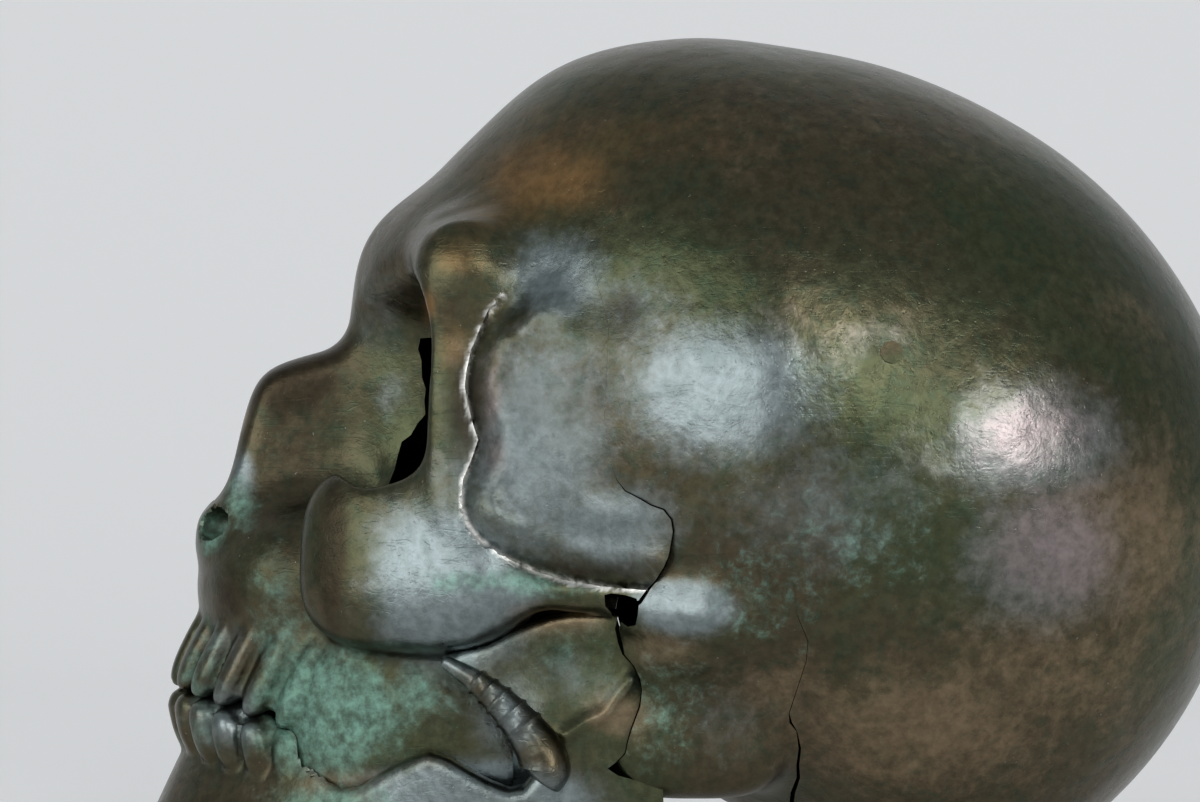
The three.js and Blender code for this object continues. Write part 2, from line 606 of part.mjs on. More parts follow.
const templeShell = moulded(skinDetail, 0, templeField).subtract(moulded(liningDetail, wall, templeField));
const rimMetal = faceRegion.add(kerf(templeRim)).subtract(hollow);
const templePlates = templeShell.intersect(templeLapRegion).subtract(rimMetal)
  .subtract(kerf(templeBack)).subtract(pinHoles);
const earPanels = holed.intersect(earRegion).subtract(seams).subtract(baseClearance);

// Lower jaw.
const jawCentre = jawHingeShare * vaultRadius;
function chinLean(z) {
  const table = chinLeanShares.map(([up, back]) => [up * vaultRadius, back * vaultRadius]);
  const next = table.findIndex(([up]) => up > z);
  if (next < 1) return table.at(next < 0 ? -1 : 0)[1];
  const [[lowUp, lowBack], [highUp, highBack]] = [table[next - 1], table[next]];
  return lerp(lowBack, highBack, (z - lowUp) / (highUp - lowUp));
}

// A ring in plan, raised in steps, its front leaned to the chin's profile and drawn in towards the teeth.
function jawRing() {
  const ring = (inset) =>
    ellipsePoints(jawCentre, jaw.halfLength - inset, jaw.halfWidth - inset, jawSquareness, 36);
  const outline = new THREE.Shape(ring(0));
  outline.holes.push(new THREE.Path(ring(jaw.thickness)));
  const geometry = new THREE.ExtrudeGeometry(outline, { depth: jaw.height, steps: 7, bevelEnabled: false });
  const position = geometry.getAttribute("position");
  for (let i = 0; i < position.count; i++) {
    const z = position.getZ(i);
    const front = smoothstep((jawCentre - position.getX(i)) / jaw.halfLength, 0.3, 0.85);
    const draw = chinNarrowingShare * front * smoothstep(z / jaw.height, 0.2, 0.65);
    position.setX(i, position.getX(i) + chinLean(z) * front);
    position.setY(i, position.getY(i) * (1 - draw));
  }
  return toSolid(geometry);
}

const dishes = wasm.Manifold.union(Object.values(sides).map((side) => {
  const at = sidePoint(dishPlaceShares);
  return toSolid(new THREE.SphereGeometry(dish.radius, 24, 14)
    .translate(at.x, side * (jaw.halfWidth + dish.radius - dish.depth), at.y));
}));
const jawSide = sidePrism([
  ...jawOutlineShares.map(sidePoint),
  ...jawBottomShares.map((back) => new THREE.Vector2(back * vaultRadius, 0)),
  ...jawBackShares.map(sidePoint),
]);
const grownSkin = moulded(skinDetail, -jointGap);
const jawClearance = wasm.Manifold.union([grownSkin, upperTeeth]);

// Ribbed struts: a bar that swells towards its foot, laid on the front edge of the jaw's branch.
function strutSolid(side, grow) {
  const places = strutPlaceShares.map(sidePoint);
  const points = places.map((at) => {
    const p = new THREE.Vector3(at.x, side * jaw.halfWidth * 0.6, at.y);
    const y = jaw.halfWidth * (1 - Math.abs((at.x - jawCentre) / jaw.halfLength) ** jawSquareness) ** (1 / jawSquareness);
    return p.setY(side * (y + strut.proud - strut.endRadius));
  });
  const path = new THREE.CatmullRomCurve3(points);
  const steps = 10;
  const round = 8;
  const ring = new THREE.Shape(ellipsePoints(0, 1, 1, 2, round));
  const geometry = new THREE.ExtrudeGeometry(ring, { steps, bevelEnabled: false, extrudePath: path });
  const position = geometry.getAttribute("position");
  const q = new THREE.Vector3();
  const samples = Array.from({ length: steps + 1 }, (_, i) => path.getPointAt(i / steps));
  for (let i = 0; i < position.count; i++) {
    q.fromBufferAttribute(position, i);
    const t = samples.reduce((best, s, k) => (s.distanceTo(q) < samples[best].distanceTo(q) ? k : best), 0);
    const radius = lerp(strut.endRadius, strut.footRadius, Math.sqrt(t / steps)) + grow;
    q.sub(samples[t]).multiplyScalar(radius).add(samples[t]);
    position.setXYZ(i, q.x, q.y, q.z);
  }
  return toSolid(geometry);
}

const strutRoom = wasm.Manifold.union(Object.values(sides).map((side) => strutSolid(side, jointGap)));
const jawBody = jawRing().intersect(jawSide).subtract(dishes).add(lowerTeeth).subtract(jawClearance)
  .subtract(dowelHoles).subtract(strutRoom);
add("jaw_casting", jawBody, greenBronze);

for (const [sideName, side] of Object.entries(sides)) {
  add(`temple_plate_${sideName}`, halfOf(templePlates, side), greyBronze);
  add(`ear_panel_${sideName}`, halfOf(earPanels, side), greenBronze);
  add(`eye_cup_${sideName}`, eyeCup(side), greenBronze);
  add(`jaw_strut_${sideName}`, strutSolid(side, 0).subtract(grownSkin), greyBronze);
}
for (const { name, solid } of straps) add(name, solid.subtract(pinHoles), rawBronze);
for (const { name, solid } of [...pins, ...dowels]) add(name, solid, rawBronze);
for (const { name, solid } of plugs) add(name, solid, bronze);

// Stand the sculpture centred on its own footprint.
const footprint = new THREE.Box3().setFromObject(group).getCenter(new THREE.Vector3());
group.position.set(-footprint.x, -footprint.y, 0);

export default group;
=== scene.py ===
# %% [markdown]
# # A cast bronze skull
# The sculpture is a life-size skull cast in thin bronze sections. The sections were fitted, pinned from
# inside and filed to one skin, and some of the joints have since opened. The whole head is worked out as
# one smooth shape here, and then sawn into its sections along the same joints as the real one.

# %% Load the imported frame
import json
import math
import time
import bmesh
import bpy
import numpy as np
from mathutils import Matrix, Vector

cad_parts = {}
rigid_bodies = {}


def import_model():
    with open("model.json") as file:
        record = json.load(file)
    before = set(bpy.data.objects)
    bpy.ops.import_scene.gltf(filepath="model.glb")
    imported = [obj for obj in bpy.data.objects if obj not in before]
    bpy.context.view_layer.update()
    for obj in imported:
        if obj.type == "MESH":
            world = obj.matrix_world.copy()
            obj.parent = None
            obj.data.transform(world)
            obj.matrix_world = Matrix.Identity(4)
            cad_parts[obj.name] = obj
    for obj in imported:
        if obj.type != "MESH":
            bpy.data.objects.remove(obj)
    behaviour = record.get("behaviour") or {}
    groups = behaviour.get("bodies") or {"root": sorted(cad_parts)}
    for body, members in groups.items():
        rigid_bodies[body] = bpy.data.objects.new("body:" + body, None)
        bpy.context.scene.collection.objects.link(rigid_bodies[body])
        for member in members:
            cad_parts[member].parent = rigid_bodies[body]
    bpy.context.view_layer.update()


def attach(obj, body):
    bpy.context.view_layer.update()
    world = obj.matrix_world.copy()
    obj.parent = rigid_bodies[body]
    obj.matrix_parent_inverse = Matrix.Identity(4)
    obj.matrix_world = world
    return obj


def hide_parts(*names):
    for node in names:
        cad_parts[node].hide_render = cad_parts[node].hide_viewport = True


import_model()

# %% [markdown]
# Everything is sculpted in millimetres round the centre of the brain case, because that is the one point
# from which nearly all of the skin can be seen. At the end the points are moved into the frame, in metres.

# %% Where the brain case sits, and how big it is
VAULT_RADIUS = 90.0
HEART = np.array([20.674, 0.0, 88.47])


def to_frame(points):
    """Sculpting millimetres to frame metres: shift by the centre of the brain case, then divide by 1000."""
    return (np.asarray(points) + HEART) / 1000.0


def places(shares):
    """Shares of the brain case's radius to millimetres."""
    return np.asarray(shares, dtype=float) * VAULT_RADIUS


# %% [markdown]
# ## The skin as a field
# A field gives every point in space its rough distance to the skin: negative inside, positive outside.
# Fields are easy to blend: the smaller of two distances joins two shapes, and rounding that choice off
# leaves a fillet, as a sculptor's thumb does. Cutting works the same way with the sign turned round.

# %% Joining, cutting and easing
def smoothstep(value, low, high):
    """Zero below low, one above high, with the S-curve 3t^2 - 2t^3 between them."""
    t = np.clip((value - low) / (high - low), 0.0, 1.0)
    return t * t * (3.0 - 2.0 * t)


def join(a, b, blend):
    """The smaller of two distances, less a parabola of depth blend/4 where they are close."""
    h = np.maximum(blend - np.abs(a - b), 0.0) / blend
    return np.minimum(a, b) - h * h * blend / 4.0


def carve(a, b, blend):
    """Shape a without shape b: the larger of a and minus b, eased in the same way."""
    return -join(-a, b, blend)


# %% [markdown]
# Two shapes make all the masses of the face: a block whose squareness can be set, anywhere from an egg to
# a box, and a bar with round ends. Bone is neither round nor square, so the number in between does most
# of the work that many smaller pieces would do.

# %% A rounded block, an oval and a round bar
def block(p, centre, half, squareness=2.0, axes=None):
    """Distance to |x/a|^n + |y/b|^n + |z/c|^n = 1, got from the n-norm and the length of its slope."""
    q = p - centre
    if axes is not None:
        q = q @ axes
    q = np.abs(q) / half
    n = squareness
    gauge = np.maximum(np.sum(q**n, axis=1), 1e-9) ** (1.0 / n)
    slope = np.sqrt(np.sum((q ** (n - 1.0) / half) ** 2, axis=1)) * gauge ** (1.0 - n)
    return (gauge - 1.0) / np.maximum(slope, 1e-6)


def oval_distance(along, across, length, width, n):
    """Distance to a^n + b^n = 1, where a and b are shares of a length and a width, got from its slope."""
    gauge = np.maximum(along**n + across**n, 1e-9) ** (1 / n)
    slope = np.hypot(along ** (n - 1) / length, across ** (n - 1) / width) * gauge ** (1 - n)
    return (gauge - 1) / np.maximum(slope, 1e-6)


def bar(p, start, end, radius, end_radius):
    """Distance to a line between two points, less a radius that changes evenly along it."""
    line = end - start
    t = np.clip((p - start) @ line / (line @ line), 0.0, 1.0)
    return np.linalg.norm(p - start - t[:, None] * line, axis=1) - radius - t * (end_radius - radius)


# %% [markdown]
# ## The brain case
# Its side outline is a radius for every 15 degrees, joined by a smooth cubic. Across, it is a slightly
# squarish oval that narrows towards the forehead and underneath. A few shallow dents, as wide as a thumb,
# break up its highlights: a sheet cast by hand is never quite even.

# %% The brain case
OUTLINE_SHARES = np.array([
    1.04, 1.009, 0.974, 0.946, 0.928, 0.931, 0.952, 1.007, 1.053, 1.047, 1.061, 1.062,
    1.01, 0.93, 0.86, 0.81, 0.79, 0.79, 0.861, 1.027, 1.076, 1.079, 1.074, 1.061])
HALF_BREADTH, VAULT_SQUARENESS = 73.0, 2.25
NARROWER_IN_FRONT, NARROWER_BELOW = 0.24, 0.2


def outline_radius(angle):
    """Periodic cubic through the listed shares, times the brain case's radius."""
    count = len(OUTLINE_SHARES)
    turn = (angle / (2 * np.pi)) % 1.0 * count
    step = np.floor(turn).astype(int)
    t = turn - step
    a, b, c, d = (OUTLINE_SHARES[(step + k) % count] for k in (-1, 0, 1, 2))
    share = b + 0.5 * t * (c - a + t * (2 * a - 5 * b + 4 * c - d + t * (3 * (b - c) + d - a)))
    return share * VAULT_RADIUS


# Each dent: back, up, width and depth in millimetres.
DENTS = [[-35, 31, 6, 0.5], [-43, 14, 6, 0.5], [-14, 30, 8, 0.4], [-24, -4, 7, 0.5], [24, 22, 12, 0.5]]


def vault_field(p):
    """The 2.25-norm of (distance in side view / outline radius, y / half breadth), turned to a distance."""
    x, y, z = p.T
    radius = outline_radius(np.arctan2(z, x))
    front = 1 - NARROWER_IN_FRONT * smoothstep(-x, 0, VAULT_RADIUS)
    breadth = HALF_BREADTH * front * (1 - NARROWER_BELOW * smoothstep(-z, 0, VAULT_RADIUS))
    along = np.hypot(x, z) / radius
    across = np.abs(y) / breadth
    dents = sum(deep * np.exp(-((x - at) ** 2 + (z - up) ** 2) / wide**2) for at, up, wide, deep in DENTS)
    case = oval_distance(along, across, radius, breadth, VAULT_SQUARENESS)
    return case + dents * smoothstep(across, 0.3, 0.6)


# %% [markdown]
# ## The face
# Brows, cheekbones, arches, nose and jaw are masses set on the brain case. Each one is a block or a bar
# with its own blend: wide where the metal flows, tight where the real face has a crease, as round the
# cheekbone.

# %% The masses of the face
BARS = {  # start, end, radius at each, blend, all as shares of the radius
    "brow": ([-0.86, 0.1, 0.45], [-0.735, 0.43, 0.435], 0.089, 0.082, 0.16),
    "tail of the cheekbone": ([-0.72, 0.5, -0.275], [-0.5, 0.575, -0.285], 0.075, 0.03, 0.06),
    "cheek arch": ([-0.5, 0.58, -0.283], [-0.3, 0.64, -0.3], 0.028, 0.03, 0.045),
}
BLOCKS = {  # centre, half sizes, blend, squareness, turn and tilt in degrees
    "root of the arch": ([-0.25, 0.615, -0.342], [0.17, 0.11, 0.08], 0.08, 2.3, 22, 24),
    "lower root": ([-0.27, 0.58, -0.415], [0.12, 0.08, 0.05], 0.04, 2.3, 18, 10),
    "mastoid": ([-0.227, 0.45, -0.54], [0.207, 0.14, 0.205], 0.08, 3.4, 0, 0),
    "upper jaw": ([-1.07, 0, -0.29], [0.3, 0.322, 0.278], 0.089, 2.0, 0, 0),
    "nasal sill": ([-1.285, 0, -0.17], [0.085, 0.13, 0.075], 0.044, 2.4, 0, 0),
    "cheekbone": ([-0.842, 0.415, -0.21], [0.27, 0.14, 0.217], 0.035, 3.1, 20, 8),
    "side of the orbit": ([-0.742, 0.485, 0.2], [0.088, 0.062, 0.29], 0.08, 3.2, 0.5, 6),
}
# The nose and the sheet between the jaws: centre, half sizes and squareness.
NOSE = (places([-1.065, 0, 0.06]), places([0.205, 0.165, 0.196]), 7.0)
NOSE_SKEW = np.array([[1, 0, -0.27], [0, 1, 0], [-0.27, 0, 1]])
WEB = (places([-0.8, 0, -0.6]), places([0.37, 0.425, 0.25]), 3.6)


def turned(turn, tilt):
    """Axes turned about the upright one, the back end outwards, and then tilted to face upwards."""
    s, c = math.sin(math.radians(turn)), math.cos(math.radians(turn))
    out, up = np.array([-s, c, 0]), np.array([0, 0, 1])
    rise, level = math.sin(math.radians(tilt)), math.cos(math.radians(tilt))
    return np.column_stack([[c, s, 0], level * out + rise * up, level * up - rise * out])


print("masses of the face:", ", ".join([*BARS, *BLOCKS, "nose", "web"]))

# %% [markdown]
# Teeth are short columns on an oval arch: a crown at the bite and a root ridge that runs on over the gum.
# Only the ones of the upper jaw belong to the face. The bite drops towards the back.

# %% Teeth
TOOTH_ANGLES = np.radians([7, 20, 33, 46, 59, 72])
ARCH_CENTRE, ARCH_LONG, ARCH_WIDE, BITE, BITE_DROP = -1.035, 0.372, 0.317, -0.522, 0.118
GUM_CENTRE, GUM_LONG, GUM_WIDE, GUM_MEAN = -93.15, 34.2, 29.2, 31.0
GUM_BITE, GUM_DROP, GUM_DROP_LONG, GUM_CLEARANCE = -47.0, 10.6, 33.5, 3.0
TOOTH_HALF_WIDTH, TOOTH_HALF_DEPTH, TOOTH_SQUARENESS, ROOT_TAPER = 4.5, 3.7, 2.5, 0.25
UPPER_LEAN, UPPER_GUM, UPPER_TOOTH = math.radians(24), 19.0, 10.0
LOWER_LEAN, LOWER_GUM, LOWER_TOOTH, LOWER_SET_BACK = math.radians(8), 13.0, 6.5, 0.8


def gum_field(p, up, lean, tall):
    """The ridge behind a row of teeth: an ellipse in plan that leans back, cut off at the bite."""
    rise = up * (p[:, 2] - GUM_BITE)
    back = p[:, 0] - GUM_CENTRE - math.tan(lean) * np.clip(rise, 0, 30)
    plan = (np.hypot(back / GUM_LONG, p[:, 1] / GUM_WIDE) - 1.0) * GUM_MEAN
    drop = GUM_DROP * (1 - np.clip(-back / GUM_DROP_LONG, 0, 1))
    past_bite = up * (GUM_BITE - drop - p[:, 2]) + GUM_CLEARANCE
    return -join(-plan, join(-past_bite, tall - rise, 2.0), 2.0)


def tooth_row(p, up, half_height, lean, set_back):
    """Smooth union of six leaning columns a side: each a tall squarish block that narrows into its root."""
    total = np.full(len(p), 1e3)
    for angle in TOOTH_ANGLES:
        facing = math.atan2(ARCH_LONG * math.sin(angle), ARCH_WIDE * math.cos(angle))
        foot = places([ARCH_CENTRE - ARCH_LONG * math.cos(angle), ARCH_WIDE * math.sin(angle),
                       BITE - BITE_DROP * (1 - math.cos(angle))])
        foot[2] += up * 0.25
        q = p - foot
        q[:, 0] -= np.tan(lean) * np.maximum(up * q[:, 2], 0) + set_back
        s, c = math.sin(facing), math.cos(facing)
        q = np.column_stack([q[:, 0] * c - q[:, 1] * s, q[:, 0] * s + q[:, 1] * c, q[:, 2]])
        rise = np.clip(up * q[:, 2] / (2 * half_height), 0, 1)
        q[:, :2] /= (1 - ROOT_TAPER * rise)[:, None]
        half = np.array([TOOTH_HALF_WIDTH, TOOTH_HALF_DEPTH, half_height])
        column = block(q, np.array([0, 0, up * half_height]), half, TOOTH_SQUARENESS)
        total = join(total, column, 0.5)
    return total


# %% [markdown]
# ## The eye openings
# Each orbit is a bowl. On the nose side its wall flows out of the bridge of the nose; on the outer side
# the metal ends in a thin, sharp rim. So the bowl is carved with a blend that is wide on the nose side
# and narrow on the outer side.

# %% The orbit bowls
ORBIT_MOUTH, ORBIT_DEPTH, ORBIT_MIDDLE, ORBIT_HALF_WIDTH = -100.0, 32.0, 33.5, 19.0
ORBIT_LEVEL, ORBIT_TOP, ORBIT_FLOOR, ORBIT_MEAN = 17.0, 23.5, 23.0, 18.0
ROUND_IN_PLAN, ROUND_UPRIGHT = 2.7, 4.0
ROOF_FALL, ROOF_EDGE, SHARP_RIM, SOFT_RIM = 0.35, 45.0, 1.5, 8.5
SILL_RISE, SILL_BACK, SILL_LENGTH = 6.0, -96.0, 6.0


def carve_orbit(d, p):
    """Carve a squarish funnel, open to the front and rounded behind, with a blend of 1.5 to 10 mm."""
    x, y, z = p.T
    n = ROUND_IN_PLAN
    along = np.maximum(x - ORBIT_MOUTH, 0.0) / ORBIT_DEPTH
    across = np.abs(y - ORBIT_MIDDLE) / ORBIT_HALF_WIDTH
    plan = (along**n + across**n) ** (1 / n)
    top = ORBIT_TOP - ROOF_FALL * np.maximum(ROOF_EDGE - y, 0.0)
    sill = SILL_RISE * np.exp(-(((x - SILL_BACK) / SILL_LENGTH) ** 2)) * smoothstep(y, 24, 34)
    floor = ORBIT_FLOOR - sill
    height = np.abs(z - ORBIT_LEVEL) / np.where(z > ORBIT_LEVEL, top, floor)
    gauge = (plan**ROUND_UPRIGHT + height**ROUND_UPRIGHT) ** (1 / ROUND_UPRIGHT)
    soft = np.maximum(smoothstep(-y, -40.0, -20.0), smoothstep(z, 18, 34) * smoothstep(-y, -44, -30))
    return carve(d, (gauge - 1.0) * ORBIT_MEAN, SHARP_RIM + SOFT_RIM * soft)


# %% [markdown]
# The masses are joined one after another, the large ones first. The teeth are left out where a smooth
# lining is wanted, and only one half is worked out, because the field reads y without its sign.

# %% The whole head
NOSE_BLEND, WEB_BLEND, GUM_BLEND, TOOTH_BLEND = 5.5, 5.0, 4.0, 1.2
SILL_HOLE = (np.array([-118.2, 10.5, -13.2]), np.array([5.0, 4.5, 3.6]))


def head_field(p, teeth=True):
    """The brain case joined to every mass of the face, with the orbits and the nose's side notches carved."""
    p = np.column_stack([p[:, 0], np.abs(p[:, 1]), p[:, 2]])
    d = vault_field(p)
    for centre, half, blend, squareness, turn, tilt in BLOCKS.values():
        mass = block(p, places(centre), places(half), squareness, turned(turn, tilt) if turn else None)
        d = join(d, mass, blend * VAULT_RADIUS)
    for start, end, radius, end_radius, blend in BARS.values():
        mass = bar(p, places(start), places(end), radius * VAULT_RADIUS, end_radius * VAULT_RADIUS)
        d = join(d, mass, blend * VAULT_RADIUS)
    d = join(d, block(p, *NOSE, NOSE_SKEW), NOSE_BLEND)
    d = join(d, block(p, *WEB), WEB_BLEND)
    if teeth:
        d = join(d, gum_field(p, 1, UPPER_LEAN, UPPER_GUM), GUM_BLEND)
        d = join(d, tooth_row(p, 1, UPPER_TOOTH, UPPER_LEAN, 0.0), TOOTH_BLEND)
    d = carve_orbit(d, p)
    return carve(d, block(p, *SILL_HOLE), 1.0)


# %% [markdown]
# ## From field to metal
# A skin is found by sending rays out from a point inside and letting each one stop where the field says
# the skin is. The rays fan out over two angles, so the skin is a grid of two parameters, with a point at
# each pole.

# %% Casting rays to the skin
RAY_STEPS, RAY_SHARE, RAY_START = 60, 0.66, 6.0


def ray_cast(centre, directions, field, depth=0.0):
    """Each ray moves on by two thirds of what the field still says is left, until it reaches -depth."""
    reach = np.full(len(directions), RAY_START)
    for _ in range(RAY_STEPS):
        reach += -RAY_SHARE * (field(centre + directions * reach[:, None]) + depth)
    return centre + directions * reach[:, None]


def march(points, outside, field, steps=RAY_STEPS):
    """Move points along y to the skin, from outside on the right (1) or on the left (-1)."""
    for _ in range(steps):
        points[:, 1] -= outside * RAY_SHARE * field(points)
    return points


def fan(polar, turn, pole):
    """Unit directions for every polar angle and turn round the pole axis, plus the two poles."""
    polar, turn = np.meshgrid(polar, turn, indexing="ij")
    ring = np.stack([np.sin(polar) * np.cos(turn), np.sin(polar) * np.sin(turn), np.cos(polar)], axis=-1)
    ring = ring.reshape(-1, 3)
    basis = {"x": [[0, 1, 0], [0, 0, 1], [1, 0, 0]], "z": [[1, 0, 0], [0, 1, 0], [0, 0, 1]]}[pole]
    return np.vstack([ring, [[0, 0, 1], [0, 0, -1]]]) @ np.array(basis, dtype=float)


def fan_faces(rows, columns):
    """Quads between neighbouring rings, wrapped round, and a triangle fan at each pole."""
    r, c = np.meshgrid(np.arange(rows - 1), np.arange(columns), indexing="ij")
    n = (c + 1) % columns
    quads = np.stack([r * columns + c, (r + 1) * columns + c,
                      (r + 1) * columns + n, r * columns + n], axis=-1)
    c, n = np.arange(columns), (np.arange(columns) + 1) % columns
    first, last = rows * columns, rows * columns + 1
    top = np.stack([np.full(columns, first), c, n], axis=-1)
    low = (rows - 1) * columns
    bottom = np.stack([np.full(columns, last), low + n, low + c], axis=-1)
    return quads.reshape(-1, 4).tolist() + top.tolist() + bottom.tolist()


# %% [markdown]
# The face has overhangs: the rim of the orbit and the cheekbone hide metal behind them, so rays from one
# point can't reach all of it. There, the field is read on a grid of cubes instead. Each cube that the skin
# passes through gets one point, and the points of neighbouring cubes are joined up.

# %% A net over the field
COARSE, NEAR = 4, 9


def near_values(field, low, counts, step):
    """The field on a grid: coarse everywhere, and fine where the coarse value says the skin is near."""
    at = [low[k] + step * np.arange(counts[k]) for k in range(3)]
    grid = np.stack(np.meshgrid(*at, indexing="ij"), axis=-1)
    few = grid[::COARSE, ::COARSE, ::COARSE]
    values = field(few.reshape(-1, 3)).reshape(few.shape[:3])
    for axis in range(3):
        values = np.repeat(values, COARSE, axis=axis).take(np.arange(counts[axis]), axis=axis)
    near = np.abs(values) < NEAR * step
    values[near] = field(grid[near])
    for axis in range(3):
        np.moveaxis(values, axis, 0)[[0, -1]] = step
    return values


def gradient(field, p, h=0.25):
    """The slope of the field along each axis, from differences across 2h."""
    return np.stack([(field(p + h * e) - field(p - h * e)) / (2 * h) for e in np.eye(3)], axis=-1)


def surface_net(field, low, high, step):
    """Cell points at the mean of their crossed edges, quads round every crossed edge, pulled to the skin."""
    low = np.asarray(low, dtype=float)
    counts = (np.ceil((np.asarray(high) - low) / step) + 1).astype(int)
    values = near_values(field, low, counts, step)
    size = int(np.prod(counts))
    total, tally, quads = np.zeros((size, 3)), np.zeros(size), []
    for k in range(3):
        u, v = [m for m in range(3) if m != k]
        first = values.take(np.arange(counts[k] - 1), axis=k)
        second = values.take(np.arange(1, counts[k]), axis=k)
        crossed = (first < 0) != (second < 0)
        index = np.argwhere(crossed)
        a, b = first[crossed], second[crossed]
        point = low + index * step
        point[:, k] += step * a / (a - b)
        corners = []
        for du, dv in ((0, 0), (-1, 0), (-1, -1), (0, -1)):
            cell = index.copy()
            cell[:, u] += du
            cell[:, v] += dv
            flat = np.ravel_multi_index(cell.T, counts)
            tally += np.bincount(flat, minlength=size)
            for m in range(3):
                total[:, m] += np.bincount(flat, weights=point[:, m], minlength=size)
            corners.append(flat)
        quad = np.stack(corners, axis=1)
        turned = (a >= 0) ^ (k == 1)
        quad[turned] = quad[turned][:, ::-1]
        quads.append(quad)
    used = tally > 0
    points = total[used] / tally[used][:, None]
    number = np.cumsum(used) - 1
    for _ in range(3):
        slope = gradient(field, points)
        pull = field(points)[:, None] * slope / np.maximum(np.sum(slope**2, axis=1), 0.05)[:, None]
        length = np.linalg.norm(pull, axis=1)[:, None]
        points = points - pull * np.minimum(1.0, 0.5 * step / np.maximum(length, 1e-9))
    return points, number[np.vstack(quads)].tolist()


# %% [markdown]
# The head is sawn into its sections with booleans. Every cutter is a closed shape, so what is left is
# closed too: a section has a skin, a lining and sawn edges, as a real casting has. Points and faces are
# handed to Blender in one go, and the boolean is applied at once, so no modifier is left on a piece.

# %% Making meshes, and cutting them
def make_mesh(name, points_mm, faces):
    """Points and faces into a mesh, placed in the frame."""
    mesh = bpy.data.meshes.new(name)
    mesh.from_pydata(to_frame(points_mm).tolist(), [], faces)
    mesh.validate()
    return mesh


def cut(mesh, cutter, operation="DIFFERENCE"):
    """Saw, keep or weld: a boolean between two closed meshes, applied at once."""
    body = bpy.data.objects.new("body", mesh)
    tool = bpy.data.objects.new("tool", cutter)
    scene = bpy.context.scene.collection
    scene.objects.link(body)
    scene.objects.link(tool)
    modifier = body.modifiers.new("cut", "BOOLEAN")
    modifier.operation, modifier.object, modifier.solver = operation, tool, "MANIFOLD"
    depsgraph = bpy.context.evaluated_depsgraph_get()
    result = bpy.data.meshes.new_from_object(body.evaluated_get(depsgraph))
    bpy.data.objects.remove(body)
    bpy.data.objects.remove(tool)
    return result


def prism(outline, low=-110.0, high=110.0, axis="y"):
    """A closed outline in side view (x, z), plan (x, y) or front view (y, z), run through the head."""
    outline = np.asarray(outline, dtype=float)
    following = np.roll(outline, -1, axis=0)
    area = np.sum(outline[:, 0] * following[:, 1] - following[:, 0] * outline[:, 1])
    if (area > 0) == (axis == "y"):
        outline = outline[::-1]
    count = len(outline)
    order = {"y": [0, 2, 1], "z": [0, 1, 2], "x": [2, 0, 1]}[axis]
    ends = [np.column_stack([outline, np.full(count, level)])[:, order] for level in (low, high)]
    i = np.arange(count)
    n = (i + 1) % count
    walls = np.stack([i, n, n + count, i + count], axis=-1).tolist()
    caps = [list(range(count))[::-1], list(range(count, 2 * count))]
    return make_mesh("prism", np.vstack(ends), walls + caps)


# %% [markdown]
# ## The joints
# The joint lines are lists of places in the side view. Those that the years have opened are sawn with a
# width of their own at every place: a hair where the crack starts, a millimetre where it gapes. The right
# side can't be seen in the photograph, and its joints are taken to be tighter.

# %% The joint lines: back, up, and the opening in millimetres
BROW_JOINT = [
    [-1.35, 0.6, 0.03], [-0.97, 0.6, 0.03], [-0.78, 0.57, 0.03], [-0.68, 0.47, 0.03],
    [-0.655, 0.368, 0.03]]
TEMPLE_RIM = [
    [-0.655, 0.368, 0.03], [-0.685, 0.34, 0.03], [-0.702, 0.303, 0.03], [-0.724, 0.25, 0.03],
    [-0.734, 0.204, 0.03], [-0.738, 0.17, 0.03], [-0.732, 0.139, 0.03], [-0.722, 0.095, 0.03],
    [-0.708, 0.052, 0.03], [-0.722, 0.01, 0.03], [-0.741, -0.036, 0.03], [-0.744, -0.09, 0.03],
    [-0.73, -0.13, 0.03], [-0.705, -0.165, 0.03], [-0.637, -0.212, 0.03], [-0.58, -0.238, 0.03],
    [-0.527, -0.254, 0.03], [-0.44, -0.268, 0.03], [-0.39, -0.272, 0.03], [-0.335, -0.275, 0.03]]
TEMPLE_CRACK = [
    [-0.335, -0.275, 0.5], [-0.319, -0.256, 0.3], [-0.3, -0.225, 0.35], [-0.29, -0.2, 0.25],
    [-0.284, -0.17, 0.3], [-0.28, -0.146, 0.35], [-0.284, -0.12, 0.3], [-0.301, -0.098, 0.35],
    [-0.33, -0.088, 0.25], [-0.352, -0.075, 0.22], [-0.385, -0.058, 0.2], [-0.402, -0.036, 0.12],
    [-0.41, -0.018, 0.03]]
TEMPLE_BACK = [
    [-0.41, -0.018, 0.03], [-0.43, 0.1, 0.03], [-0.42, 0.3, 0.03], [-0.46, 0.45, 0.03],
    [-0.53, 0.47, 0.03], [-0.603, 0.44, 0.03], [-0.655, 0.368, 0.03]]
JAW_CRACK = [
    [-0.335, -0.275, 0.6], [-0.352, -0.3, 0.8], [-0.395, -0.335, 0.9], [-0.402, -0.365, 0.8],
    [-0.395, -0.395, 0.9], [-0.388, -0.42, 0.5], [-0.366, -0.445, 0.35], [-0.352, -0.474, 0.25],
    [-0.348, -0.5, 0.2], [-0.352, -0.535, 0.25], [-0.37, -0.583, 0.25], [-0.378, -0.61, 0.2],
    [-0.384, -0.639, 0.2], [-0.404, -0.66, 0.2], [-0.422, -0.673, 0.1], [-0.4, -0.688, 0.03],
    [-0.35, -0.702, 0.03], [-0.3, -0.72, 0.03], [-0.29, -1.1, 0.03]]
EAR_TOP = [
    [-0.335, -0.275, 0.03], [-0.26, -0.2, 0.03], [-0.12, -0.19, 0.03], [-0.02, -0.25, 0.03],
    [-0.013, -0.324, 0.03]]
